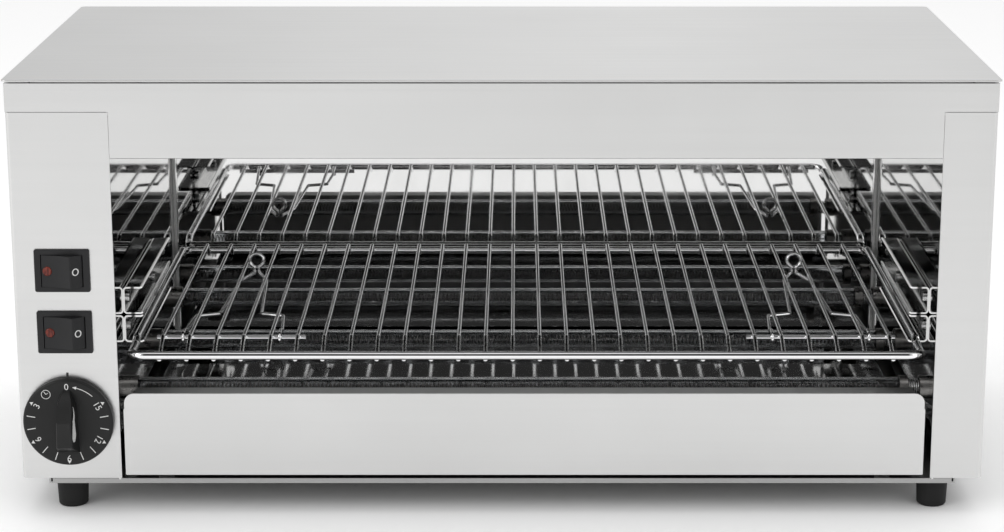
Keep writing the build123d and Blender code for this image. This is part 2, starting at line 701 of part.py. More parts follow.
def make_rack_guides():
    """Four channels that carry the rack's side rails, with screws through the liners."""
    for side, side_name in ((-1, "left"), (1, "right")):
        face = CAVITY_LEFT if side < 0 else CAVITY_RIGHT
        web = face - side * SHEET / 2
        lip_end = face - side * GUIDE_LIP
        flare = lip_end + side * GUIDE_FLARE
        for level_name, level in GUIDE_LEVELS.items():
            low = level + SHEET / 2
            high = level + GUIDE_HEIGHT - SHEET / 2
            with BuildPart() as guide:
                with BuildSketch(facing(GUIDE_START)):
                    with BuildLine():
                        FilletPolyline(
                            (lip_end, high + GUIDE_FLARE / 2),
                            (flare, high),
                            (web, high),
                            (web, low),
                            (flare, low),
                            (lip_end, low + GUIDE_FLARE / 2),
                            radius=(GUIDE_BEND / 2, GUIDE_BEND, GUIDE_BEND, GUIDE_BEND / 2),
                        )
                    trace(line_width=SHEET)
                extrude(amount=-(GUIDE_END - GUIDE_START))
                through = sorted((face + side * SHEET, face - 2 * side * SHEET))
                for depth, z in guide_screw_places():
                    if level < z < level + GUIDE_HEIGHT:
                        hole = GUIDE_SCREW_RADIUS + SCREW_CLEARANCE
                        bar_x(through, depth, z, hole, mode=Mode.SUBTRACT)
            save(guide, f"rack_guide_{side_name}_{level_name}")

    with BuildPart() as guide_screws:
        for side, face in ((-1, CAVITY_LEFT), (1, CAVITY_RIGHT)):
            seat = face - side * SHEET
            back = face + side * SHEET
            for depth, z in guide_screw_places():
                head = sorted((seat, seat - side * GUIDE_HEAD_HEIGHT))
                bar_x(head, depth, z, GUIDE_HEAD_RADIUS)
                shank = sorted((seat, back + side * GUIDE_NUT_HEIGHT))
                bar_x(shank, depth, z, GUIDE_SCREW_RADIUS)
                nut = sorted((back, back + side * GUIDE_NUT_HEIGHT))
                bar_x(nut, depth, z, GUIDE_NUT_RADIUS)
    save(guide_screws, "guide_screws")


def make_tubes():
    """Quartz tubes, each with a plain core for its wound wire."""
    start = CAVITY_LEFT + LEFT_CUP_FLOOR
    end = CAVITY_RIGHT - HOLDER_LENGTH - SPRING_SHOWN - RIGHT_CUP_POCKET - RIGHT_CUP_FLOOR
    for (row, place), (depth, z) in tube_places().items():
        with BuildPart() as tube:
            bar_x((start, end), depth, z, TUBE_RADIUS)
            bar_x((start, end), depth, z, TUBE_RADIUS - TUBE_WALL, mode=Mode.SUBTRACT)
        save(tube, f"{row}_tube_{place}")
    with BuildPart() as heating_coils:
        for depth, z in tube_places().values():
            bar_x((start, end), depth, z, COIL_PIN_RADIUS)
            bar_x((start + COIL_MARGIN, end - COIL_MARGIN), depth, z, COIL_RADIUS)
    save(heating_coils, "heating_coils")


def make_tube_ends():
    """Cups on the tubes' ends, seats of the springs, and the strips that join the terminals."""
    cup_end = CAVITY_RIGHT - HOLDER_LENGTH - SPRING_SHOWN
    cup_start = cup_end - RIGHT_CUP
    pocket_start = cup_end - RIGHT_CUP_POCKET
    holder_start = CAVITY_RIGHT - HOLDER_LENGTH
    bore = TUBE_RADIUS + TUBE_CUP_CLEARANCE
    for row, z in TUBE_LEVELS.items():
        with BuildPart() as left_caps:
            for depth in TUBE_DEPTHS.values():
                bar_x((CAVITY_LEFT, CAVITY_LEFT + LEFT_CUP), depth, z, CUP_RADIUS)
                mouth = (CAVITY_LEFT + LEFT_CUP_FLOOR, CAVITY_LEFT + LEFT_CUP)
                bar_x(mouth, depth, z, bore, mode=Mode.SUBTRACT)
                spigot_end = CAVITY_LEFT - SHEET - SPIGOT_LENGTH
                bar_x((spigot_end, CAVITY_LEFT), depth, z, SPIGOT_RADIUS)
                bar_x((spigot_end - TERMINAL_LENGTH, spigot_end), depth, z, TERMINAL_RADIUS)
        save(left_caps, f"{row}_left_caps")
        with BuildPart() as right_caps:
            for depth in TUBE_DEPTHS.values():
                bar_x((cup_start, cup_end), depth, z, CUP_RADIUS)
                mouth = (cup_start, pocket_start - RIGHT_CUP_FLOOR)
                bar_x(mouth, depth, z, bore, mode=Mode.SUBTRACT)
                bar_x((pocket_start, cup_end), depth, z, SPRING_POCKET_RADIUS, mode=Mode.SUBTRACT)
        save(right_caps, f"{row}_right_caps")
        with BuildPart() as spring_holders:
            for depth in TUBE_DEPTHS.values():
                bar_x((holder_start, CAVITY_RIGHT), depth, z, CUP_RADIUS)
                pocket = (holder_start, holder_start + HOLDER_POCKET)
                bar_x(pocket, depth, z, SPRING_POCKET_RADIUS, mode=Mode.SUBTRACT)
                spigot_end = CAVITY_RIGHT + SHEET + SPIGOT_LENGTH
                bar_x((CAVITY_RIGHT, spigot_end), depth, z, SPIGOT_RADIUS)
                bar_x((spigot_end, spigot_end + TERMINAL_LENGTH), depth, z, TERMINAL_RADIUS)
        save(spring_holders, f"{row}_spring_holders")

    strip_left = CAVITY_LEFT - SHEET - SPIGOT_LENGTH
    strip_right = CAVITY_RIGHT + SHEET + SPIGOT_LENGTH
    strip_ends = (TUBE_INSET - BUS_BAR_END, TUBE_REAR + BUS_BAR_END)
    with BuildPart() as bus_bars:
        for z in TUBE_LEVELS.values():
            for span in (
                (strip_left - BUS_BAR_THICK, strip_left),
                (strip_right, strip_right + BUS_BAR_THICK),
            ):
                block(span, strip_ends, (z - BUS_BAR_HEIGHT / 2, z + BUS_BAR_HEIGHT / 2))
                hole = TERMINAL_RADIUS + SCREW_CLEARANCE
                for depth in TUBE_DEPTHS.values():
                    bar_x(span, depth, z, hole, mode=Mode.SUBTRACT)
    save(bus_bars, "bus_bars")


def biarc(start, heading, end, end_heading):
    """Join two points by two tangent arcs that keep both headings."""
    chord = end - start
    along = chord.dot(heading + end_heading)
    spread = 2 * (1 - heading.dot(end_heading))
    reach = (sqrt(along**2 + spread * chord.dot(chord)) - along) / spread
    middle = (start + heading * reach + end - end_heading * reach) / 2
    first = TangentArc(start, middle, tangent=heading)
    TangentArc(middle, end, tangent=first % 1)


def spring_pitch():
    """Advance of the spring in one turn, from the room between its two seats."""
    length = SPRING_SHOWN + RIGHT_CUP_POCKET + HOLDER_POCKET
    return (length - 2 * SPRING_WIRE - 2 * SPRING_TURN_IN) / SPRING_TURNS


def spring_point(angle, start_x, depth, z):
    """Point and heading of the spring's wire at an angle of its winding."""
    rise = spring_pitch() / (2 * pi)
    point = Vector(
        start_x + rise * angle,
        at(depth) + SPRING_RADIUS * cos(angle),
        z + SPRING_RADIUS * sin(angle),
    )
    heading = Vector(rise, -SPRING_RADIUS * sin(angle), SPRING_RADIUS * cos(angle)).normalized()
    return point, heading


def make_springs():
    """Coil springs that press the tubes' sprung ends, one unbroken wire each."""
    seat = CAVITY_RIGHT - HOLDER_LENGTH - SPRING_SHOWN - RIGHT_CUP_POCKET
    far_seat = CAVITY_RIGHT - HOLDER_LENGTH + HOLDER_POCKET
    along = Vector(1, 0, 0)
    turn_angle = SPRING_TURN_IN / SPRING_RADIUS
    last = 2 * pi * SPRING_TURNS
    steps = ceil(SPRING_TURNS * 4)
    for row, z in TUBE_LEVELS.items():
        with BuildPart() as springs:
            for depth in TUBE_DEPTHS.values():
                wound_from = seat + SPRING_WIRE + SPRING_TURN_IN
                entry = Vector(
                    seat + SPRING_WIRE,
                    at(depth) + SPRING_RADIUS * cos(-turn_angle),
                    z + SPRING_RADIUS * sin(-turn_angle),
                )
                leave = Vector(
                    far_seat - SPRING_WIRE,
                    at(depth) + SPRING_RADIUS * cos(last + turn_angle),
                    z + SPRING_RADIUS * sin(last + turn_angle),
                )
                with BuildLine() as wire:
                    Line(entry - along * SPRING_WIRE, entry)
                    point, heading = spring_point(0, wound_from, depth, z)
                    biarc(entry, along, point, heading)
                    for step in range(steps):
                        angle = last * (step + 1) / steps
                        following, turned = spring_point(angle, wound_from, depth, z)
                        biarc(point, heading, following, turned)
                        point, heading = following, turned
                    biarc(point, heading, leave, along)
                    Line(leave, leave + along * SPRING_WIRE)
                with BuildSketch(Plane(origin=wire.line @ 0, z_dir=along)):
                    Circle(SPRING_WIRE / 2)
                sweep(path=wire.line)
        save(springs, f"{row}_tube_springs")
    return wire.wire()


def print_least_gap(path, wire_diameter, name):
    """Print the least clear gap between two turns of a wound wire."""
    count = 400
    points = [path @ (index / count) for index in range(count + 1)]
    skip = ceil(count * 3 * wire_diameter / path.length)
    least = min(
        (points[first] - points[second]).length
        for first in range(count)
        for second in range(first + skip, count + 1)
    )
    print(f"{name}: least gap between turns {least - wire_diameter:.2f} mm")


def timer_screw_places():
    """X of the timer's two screws, left and right of its shaft."""
    return (TIMER_X - TIMER_SCREW_SPACING / 2, TIMER_X + TIMER_SCREW_SPACING / 2)


def make_timer():
    """Clockwork timer behind the panel, its shaft and its two screws."""
    with BuildPart() as timer_body:
        block(
            (TIMER_X - TIMER_WIDTH / 2, TIMER_X + TIMER_WIDTH / 2),
            (SHEET, SHEET + TIMER_DEPTH),
            (TIMER_Z - TIMER_HEIGHT / 2, TIMER_Z + TIMER_HEIGHT / 2),
        )
        fillet(timer_body.edges().filter_by(Axis.Y), TIMER_CORNER)
        bore = SHAFT_RADIUS + SHAFT_CLEARANCE
        bar_y(TIMER_X, (SHEET, SHEET + SHAFT_INSIDE), TIMER_Z, bore, mode=Mode.SUBTRACT)
        for x in timer_screw_places():
            hole = TIMER_SCREW_RADIUS + SCREW_CLEARANCE
            span = (SHEET, SHEET + TIMER_SCREW_INSIDE)
            bar_y(x, span, TIMER_Z, hole, mode=Mode.SUBTRACT)
    save(timer_body, "timer_body")

    with BuildPart() as timer_shaft:
        shaft_end = SHEET + SHAFT_INSIDE - SCREW_CLEARANCE
        bar_y(TIMER_X, (-SHAFT_IN_KNOB, shaft_end), TIMER_Z, SHAFT_RADIUS)
    save(timer_shaft, "timer_shaft")

    with BuildPart() as timer_screws:
        for x in timer_screw_places():
            bar_y(x, (-TIMER_HEAD_HEIGHT, 0), TIMER_Z, TIMER_HEAD_RADIUS)
            bar_y(x, (0, TIMER_SCREW_INSIDE), TIMER_Z, TIMER_SCREW_RADIUS)
    save(timer_screws, "timer_screws")


def make_timer_knob():
    """Dial skirt with a finger grip that slopes down to a pointed tip."""
    skirt_face = KNOB_GAP + KNOB_SKIRT
    with BuildPart() as timer_knob:
        with BuildSketch(sideways(TIMER_X)):
            with BuildLine():
                Polyline(
                    (at(-KNOB_OUT), TIMER_Z - GRIP_FLAT_BOTTOM),
                    (at(-skirt_face + KNOB_RIM), TIMER_Z - GRIP_BOTTOM),
                    (at(-skirt_face + KNOB_RIM), TIMER_Z + GRIP_TIP),
                    (at(-GRIP_TIP_OUT), TIMER_Z + GRIP_TIP),
                )
                ThreePointArc(
                    (at(-GRIP_TIP_OUT), TIMER_Z + GRIP_TIP),
                    (at(-GRIP_SHOULDER), TIMER_Z + (GRIP_TIP + GRIP_FLAT_TOP) / 2),
                    (at(-KNOB_OUT), TIMER_Z + GRIP_FLAT_TOP),
                )
                Line(
                    (at(-KNOB_OUT), TIMER_Z + GRIP_FLAT_TOP),
                    (at(-KNOB_OUT), TIMER_Z - GRIP_FLAT_BOTTOM),
                )
            make_face()
        extrude(amount=KNOB_RADIUS, both=True)
        with BuildSketch(facing(-KNOB_OUT)):
            with BuildLine():
                Polyline(
                    (TIMER_X - GRIP_HALF_TOP, TIMER_Z + GRIP_FLAT_TOP),
                    (TIMER_X - GRIP_HALF_BOTTOM, TIMER_Z - GRIP_BOTTOM),
                    (TIMER_X + GRIP_HALF_BOTTOM, TIMER_Z - GRIP_BOTTOM),
                    (TIMER_X + GRIP_HALF_TOP, TIMER_Z + GRIP_FLAT_TOP),
                )
                for side in (-1, 1):
                    ThreePointArc(
                        (TIMER_X + side * GRIP_HALF_TOP, TIMER_Z + GRIP_FLAT_TOP),
                        (
                            TIMER_X + side * GRIP_HALF_TOP * GRIP_WAIST,
                            TIMER_Z + (GRIP_FLAT_TOP + GRIP_TIP) / 2 + GRIP_WAIST_RISE,
                        ),
                        (TIMER_X, TIMER_Z + GRIP_TIP),
                    )
            make_face()
        extrude(amount=-KNOB_OUT, taper=-GRIP_TAPER, mode=Mode.INTERSECT)
        crest = timer_knob.edges().group_by(Axis.Y)[0]
        fillet(crest, CREST_ROUND)
        bar_y(TIMER_X, (-skirt_face, -KNOB_GAP), TIMER_Z, KNOB_RADIUS)
        rims = timer_knob.edges().filter_by(GeomType.CIRCLE).sort_by(SortBy.RADIUS)[-2:]
        fillet(rims.sort_by(Axis.Y)[0], KNOB_RIM * 2)
        pocket = (-KNOB_GAP - KNOB_POCKET, -KNOB_GAP)
        bar_y(TIMER_X, pocket, TIMER_Z, KNOB_POCKET_RADIUS, mode=Mode.SUBTRACT)
        bore = SHAFT_RADIUS + SHAFT_CLEARANCE
        bar_y(TIMER_X, (-SHAFT_IN_KNOB, 0), TIMER_Z, bore, mode=Mode.SUBTRACT)
    save(timer_knob, "timer_knob")


def make_switch(name, z):
    """Rocker switch: snap-in case, rocker on two pivot pins, round lamp lens and blades."""
    pivot_depth = PIVOT_BEHIND_BEZEL - BEZEL_THICK
    with BuildPart() as housing:
        block(
            (SWITCH_X - BEZEL_WIDTH / 2, SWITCH_X + BEZEL_WIDTH / 2),
            (-BEZEL_THICK, 0),
            (z - BEZEL_HEIGHT / 2, z + BEZEL_HEIGHT / 2),
        )
        fillet(housing.edges().filter_by(Axis.Y), BEZEL_CORNER)
        fillet(housing.faces().sort_by(Axis.Y)[0].edges(), BEZEL_THICK / 3)
        block(
            (SWITCH_X - CASE_WIDTH / 2, SWITCH_X + CASE_WIDTH / 2),
            (0, CASE_DEPTH),
            (z - CASE_HEIGHT / 2, z + CASE_HEIGHT / 2),
        )
        block(
            (SWITCH_X - MOUTH_WIDTH / 2, SWITCH_X + MOUTH_WIDTH / 2),
            (-BEZEL_THICK, WELL_DEPTH),
            (z - MOUTH_HEIGHT / 2, z + MOUTH_HEIGHT / 2),
            mode=Mode.SUBTRACT,
        )
        block(
            (SWITCH_X - WELL_WIDTH / 2, SWITCH_X + WELL_WIDTH / 2),
            (0, WELL_DEPTH),
            (z - MOUTH_HEIGHT / 2, z + MOUTH_HEIGHT / 2),
            mode=Mode.SUBTRACT,
        )
        pin_reach = MOUTH_HEIGHT / 2 + PIVOT_PIN_LENGTH
        hole = PIVOT_PIN_RADIUS + PIVOT_CLEARANCE
        bar_z(SWITCH_X, pivot_depth, (z - pin_reach, z + pin_reach), hole, mode=Mode.SUBTRACT)
    save(housing, f"switch_{name}_housing")

    half_height = MOUTH_HEIGHT / 2 - ROCKER_CLEARANCE
    end_x = sqrt(ROCKER_END_RADIUS**2 - PIVOT_BEHIND_BEZEL**2)
    face = -BEZEL_THICK
    with BuildPart() as rocker:
        with BuildSketch(Plane.XY.offset(z - half_height)):
            with BuildLine():
                ThreePointArc(
                    (SWITCH_X - end_x, at(face - FACET_LEFT_OUT)),
                    (SWITCH_X + (RIDGE_X - end_x) / 2, at(face - FACET_MIDDLE_OUT)),
                    (SWITCH_X + RIDGE_X, at(face - RIDGE_OUT)),
                )
                Polyline(
                    (SWITCH_X + RIDGE_X, at(face - RIDGE_OUT)),
                    (SWITCH_X + end_x, at(face - FACET_RIGHT_OUT)),
                    (SWITCH_X + end_x, at(pivot_depth + ROCKER_BELLY)),
                    (SWITCH_X - end_x, at(pivot_depth + ROCKER_BELLY)),
                    (SWITCH_X - end_x, at(face - FACET_LEFT_OUT)),
                )
            make_face()
        extrude(amount=2 * half_height)
        with BuildSketch(Plane.XY.offset(z - half_height)):
            with Locations((SWITCH_X, at(pivot_depth))):
                Circle(ROCKER_END_RADIUS)
        extrude(amount=2 * half_height, mode=Mode.INTERSECT)
        ridge = rocker.edges().filter_by(Axis.Z).sort_by(Axis.Y)[0]
        fillet(ridge, RIDGE_ROUND)
        pin_half = half_height + PIVOT_PIN_LENGTH
        bar_z(SWITCH_X, pivot_depth, (z - pin_half, z + pin_half), PIVOT_PIN_RADIUS)
        seat = (face - RIDGE_OUT, face + LENS_SEAT)
        seat_radius = LENS_RADIUS + PIVOT_CLEARANCE
        bar_y(SWITCH_X + LENS_X, seat, z, seat_radius, mode=Mode.SUBTRACT)
    save(rocker, f"switch_{name}_rocker")

    with BuildPart() as lens:
        bar_y(SWITCH_X + LENS_X, (face - LENS_OUT, face + LENS_SEAT), z, LENS_RADIUS)
        fillet(lens.edges().sort_by(Axis.Y)[0], LENS_ROUND)
    save(lens, f"switch_{name}_lens")

    with BuildPart() as terminals:
        for x in blade_places():
            block(
                (x - BLADE_WIDTH / 2, x + BLADE_WIDTH / 2),
                (CASE_DEPTH, CASE_DEPTH + BLADE_LENGTH),
                (z - BLADE_HEIGHT / 2, z + BLADE_HEIGHT / 2),
            )
    save(terminals, f"switch_{name}_terminals")


def blade_places():
    """X of the switches' three connection blades."""
    return [SWITCH_X + BLADE_SPACING * step for step in (-1, 0, 1)]


def foot_places():
    """X and depth of each foot by its name."""
    return {
        f"foot_{end}_{side_name}": (side * (HALF_WIDTH - FOOT_INSET_X), depth)
        for end, depth in (("front", FOOT_INSET_DEPTH), ("rear", BODY_DEPTH - FOOT_INSET_DEPTH))
        for side_name, side in (("left", -1), ("right", 1))
    }


def make_feet():
    """Tapered rubber feet, each held by a screw from below that taps into the base pan."""
    for name, (x, depth) in foot_places().items():
        with BuildPart() as foot:
            with BuildSketch(Plane.XY):
                with Locations((x, at(depth))):
                    Circle(FOOT_BOTTOM_RADIUS)
            with BuildSketch(Plane.XY.offset(FOOT_HEIGHT)):
                with Locations((x, at(depth))):
                    Circle(FOOT_TOP_RADIUS)
            loft()
            fillet(foot.edges().sort_by(Axis.Z)[0], FOOT_ROUND)
            hole = FOOT_SCREW_RADIUS + SCREW_CLEARANCE
            bar_z(x, depth, (0, FOOT_HEIGHT), hole, mode=Mode.SUBTRACT)
            pocket = FOOT_HEAD_RADIUS + SCREW_CLEARANCE
            bar_z(x, depth, (0, FOOT_POCKET_DEPTH), pocket, mode=Mode.SUBTRACT)
        save(foot, name)
    with BuildPart() as foot_screws:
        for x, depth in foot_places().values():
            head = (FOOT_POCKET_DEPTH - FOOT_HEAD_HEIGHT, FOOT_POCKET_DEPTH)
            bar_z(x, depth, head, FOOT_HEAD_RADIUS)
            bar_z(x, depth, (FOOT_POCKET_DEPTH, FLOOR_TOP + FOOT_SCREW_RISE), FOOT_SCREW_RADIUS)
    save(foot_screws, "foot_screws")


def make_cable_gland():
    """Cable inlet: threaded body with a hexagon, lock nut, dome nut and rubber seal."""
    stem_end = BODY_DEPTH + GLAND_HEX_THICK + GLAND_STEM_OUT
    with BuildPart() as gland_body:
        with BuildSketch(facing(BODY_DEPTH)):
            with Locations((GLAND_X, GLAND_Z)):
                RegularPolygon(GLAND_HEX / 2, 6, major_radius=False)
        extrude(amount=-GLAND_HEX_THICK)
        bar_y(GLAND_X, (REAR_INNER - GLAND_INSIDE, stem_end), GLAND_Z, GLAND_THREAD_RADIUS)
        bore = (REAR_INNER - GLAND_INSIDE, stem_end)
        bar_y(GLAND_X, bore, GLAND_Z, GLAND_BORE_RADIUS, mode=Mode.SUBTRACT)
    save(gland_body, "gland_body")

    with BuildPart() as gland_nut:
        with BuildSketch(facing(REAR_INNER - GLAND_LOCK_THICK)):
            with Locations((GLAND_X, GLAND_Z)):
                RegularPolygon(GLAND_HEX / 2, 6, major_radius=False)
        extrude(amount=-GLAND_LOCK_THICK)
        dome = (BODY_DEPTH + GLAND_HEX_THICK, BODY_DEPTH + GLAND_OUT)
        bar_y(GLAND_X, dome, GLAND_Z, GLAND_DOME_RADIUS)
        fillet(gland_nut.edges().group_by(Axis.Y)[-1], GLAND_DOME_RADIUS / 3)
        thread = GLAND_THREAD_RADIUS + GLAND_DOME_THREAD_GAP
        inside = (REAR_INNER - GLAND_LOCK_THICK, stem_end)
        bar_y(GLAND_X, inside, GLAND_Z, thread, mode=Mode.SUBTRACT)
        mouth = (stem_end, BODY_DEPTH + GLAND_OUT)
        bar_y(GLAND_X, mouth, GLAND_Z, GLAND_MOUTH_RADIUS, mode=Mode.SUBTRACT)
    save(gland_nut, "gland_nut")

    with BuildPart() as gland_seal:
        span = (stem_end - SEAL_LENGTH, stem_end)
        bar_y(GLAND_X, span, GLAND_Z, GLAND_BORE_RADIUS - SHAFT_CLEARANCE)
        bar_y(GLAND_X, span, GLAND_Z, SEAL_BORE_RADIUS, mode=Mode.SUBTRACT)
    save(gland_seal, "gland_seal")


def make_wiring():
    """Terminal block and earth stud on the base pan, and leads to the switches' blades."""
    ways = [SWITCH_X + BLOCK_PITCH * (way - (BLOCK_WAYS - 1) / 2) for way in range(BLOCK_WAYS)]
    way_z = FLOOR_TOP + LEAD_LEVEL
    with BuildPart() as terminal_block:
        block(
            (SWITCH_X - BLOCK_WIDTH / 2, SWITCH_X + BLOCK_WIDTH / 2),
            (BLOCK_FRONT, BLOCK_FRONT + BLOCK_DEPTH),
            (FLOOR_TOP, FLOOR_TOP + BLOCK_HEIGHT),
        )
        for x in ways:
            bar_y(
                x,
                (BLOCK_FRONT + BLOCK_DEPTH / 2, BLOCK_FRONT + BLOCK_DEPTH),
                way_z,
                2 * LEAD_RADIUS,
                mode=Mode.SUBTRACT,
            )
    save(terminal_block, "terminal_block")

    with BuildPart() as earth_stud:
        bar_z(SWITCH_X, EARTH_DEPTH, (FLOOR_TOP, FLOOR_TOP + EARTH_HEIGHT), EARTH_RADIUS)
        with BuildSketch(Plane.XY.offset(FLOOR_TOP)):
            with Locations((SWITCH_X, at(EARTH_DEPTH))):
                RegularPolygon(EARTH_NUT_FLATS / 2, 6, major_radius=False)
        extrude(amount=EARTH_NUT_HEIGHT)
    save(earth_stud, "earth_stud")

    blade_end = CASE_DEPTH + BLADE_LENGTH
    with BuildPart() as wiring_loom:
        for x, blade_x, z, turn in (
            (ways[0], blade_places()[0], SWITCH_LEVELS["upper"], blade_end + 2 * LEAD_TURN_GAP),
            (ways[2], blade_places()[2], SWITCH_LEVELS["lower"], blade_end + LEAD_TURN_GAP),
        ):
            with BuildLine() as route:
                FilletPolyline(
                    (x, at(BLOCK_FRONT), way_z),
                    (x, at(turn), way_z),
                    (blade_x, at(turn), z),
                    (blade_x, at(blade_end), z),
                    radius=LEAD_BEND,
                )
            with BuildSketch(Plane(origin=route.line @ 0, z_dir=(0, -1, 0))):
                Circle(LEAD_RADIUS)
            sweep(path=route.line)
    save(wiring_loom, "wiring_loom")


def make_heat_shield():
    """Thin screen between the hot liner and the controls."""
    face = CAVITY_LEFT - SHEET - SHIELD_GAP
    with BuildPart() as heat_shield:
        span = (SHIELD_START, SHIELD_END)
        block((face - SHIELD_THICK, face), span, (FLOOR_TOP + SHEET, SHIELD_TOP))
        foot = (FLOOR_TOP + SHEET, FLOOR_TOP + SHEET + SHIELD_THICK)
        block((face - SHIELD_THICK, face + SHIELD_GAP - RUN_GAP), span, foot)
    save(heat_shield, "heat_shield")


def make_crumb_tray():
    """Shallow pan behind a plain front with rounded upper corners and folded edges."""
    pan_left = TRAY_LEFT + SHEET
    pan_right = TRAY_RIGHT - SHEET
    with BuildPart() as crumb_tray_pan:
        floor = (TRAY_FLOOR, TRAY_FLOOR + TRAY_WALL)
        block((pan_left, pan_right), (SHEET, TRAY_REAR), floor)
        block(
            (pan_left + SHEET, pan_right - SHEET),
            (2 * SHEET, TRAY_REAR - SHEET),
            (TRAY_FLOOR + SHEET, TRAY_FLOOR + TRAY_WALL),
            mode=Mode.SUBTRACT,
        )
    save(crumb_tray_pan, "crumb_tray_pan")

    with BuildPart() as crumb_tray_front:
        middle = (TRAY_LEFT + TRAY_RIGHT) / 2
        width = TRAY_RIGHT - TRAY_LEFT
        height = TRAY_FRONT_TOP - TRAY_FRONT_BOTTOM
        with BuildSketch(facing(0)):
            with Locations((middle, (TRAY_FRONT_TOP + TRAY_FRONT_BOTTOM) / 2)):
                Rectangle(width, height)
        extrude(amount=-SHEET)
        corners = crumb_tray_front.edges().filter_by(Axis.Y).group_by(Axis.Z)[-1]
        fillet(corners, TRAY_CORNER)
        top = (TRAY_FRONT_TOP - SHEET, TRAY_FRONT_TOP)
        inner = (TRAY_LEFT + TRAY_CORNER, TRAY_RIGHT - TRAY_CORNER)
        block(inner, (SHEET, TRAY_FLANGE_DEPTH), top)
        for edge, outward in ((TRAY_LEFT, -1), (TRAY_RIGHT, 1)):
            proud = edge + outward * TRAY_SIDE_PROUD
            span = sorted((proud, proud - outward * SHEET))
            upright = (TRAY_FRONT_BOTTOM, TRAY_SIDE_FLANGE_TOP)
            block(span, (SHEET / 2, TRAY_FLANGE_DEPTH), upright)
    save(crumb_tray_front, "crumb_tray_front")


def tangent_under(bend, bar):
    """End of a wire that leaves a bend and passes under a bar, a weld's depth into it.

    Both places are (depth, z) pairs. The end is where the wire touches the bar.
    """
    reach = (FRAME_WIRE + CROSS_WIRE) / 2 - WELD
    run = bar[0] - bend[0]
    rise = bar[1] - bend[1]
    distance = sqrt(run**2 + rise**2)
    toward = 1 if run > 0 else -1
    angle = atan2(rise, abs(run)) - asin(reach / distance)
    length = sqrt(distance**2 - reach**2)
    return bend[0] + toward * length * cos(angle), bend[1] + length * sin(angle)


def round_bar_along(path, diameter):
    """Sweep a round wire along a path in the current part."""
    with BuildSketch(Plane(origin=path @ 0, z_dir=path % 0)) as section:
        Circle(diameter / 2)
    sweep(section.sketch, path=path)


def make_rack_grid():
    """Welded rack: stepped frame wire, cross wires from front to back, and two short rods."""
    front = at(FRONT_BAR_DEPTH)
    rear = at(REAR_BAR_DEPTH)
    front_bend = (FRONT_BAR_DEPTH + FRONT_BEND, CROSS_Z)
    rear_bend = (REAR_BAR_DEPTH - REAR_BEND, CROSS_Z)
    front_end = tangent_under(front_bend, (FRONT_BAR_DEPTH, BAR_Z))
    rear_end = tangent_under(rear_bend, (REAR_BAR_DEPTH, BAR_Z))
    first_wire = CAVITY_MIDDLE - WIRE_PITCH * (WIRE_COUNT - 1) / 2
    with BuildPart() as rack_grid:
        for side in (-1, 1):
            rail = CAVITY_MIDDLE + side * RAIL_HALF
            with BuildLine() as half_frame:
                FilletPolyline(
                    (CAVITY_MIDDLE, front, BAR_Z),
                    (rail, front, BAR_Z),
                    (rail, front + FRONT_DIP, BAR_Z),
                    (rail, front + FRONT_DIP + DIP_RUN, RAIL_Z),
                    (rail, rear - REAR_DIP - DIP_RUN, RAIL_Z),
                    (rail, rear - REAR_DIP, BAR_Z),
                    (rail, rear, BAR_Z),
                    (CAVITY_MIDDLE, rear, BAR_Z),
                    radius=(FRONT_CORNER, *[DIP_RADIUS] * 4, REAR_CORNER),
                )
            round_bar_along(half_frame.line, FRAME_WIRE)
        for index in range(WIRE_COUNT):
            x = first_wire + index * WIRE_PITCH
            with BuildLine() as cross_wire:
                FilletPolyline(
                    (x, at(front_end[0]), front_end[1]),
                    (x, at(front_bend[0]), front_bend[1]),
                    (x, at(rear_bend[0]), rear_bend[1]),
                    (x, at(rear_end[0]), rear_end[1]),
                    radius=CROSS_BEND_RADIUS,
                )
            round_bar_along(cross_wire.line, CROSS_WIRE)
        for side in (-1, 1):
            outer = CAVITY_MIDDLE + side * (WIRE_PITCH * (WIRE_COUNT - 1) / 2 + ROD_OVERHANG)
            inner = outer - side * (ROD_SPAN * WIRE_PITCH + 2 * ROD_OVERHANG)
            bar_x(sorted((outer, inner)), ROD_DEPTH, RAIL_Z, ROD_WIRE / 2)
    save(rack_grid, "rack_grid")


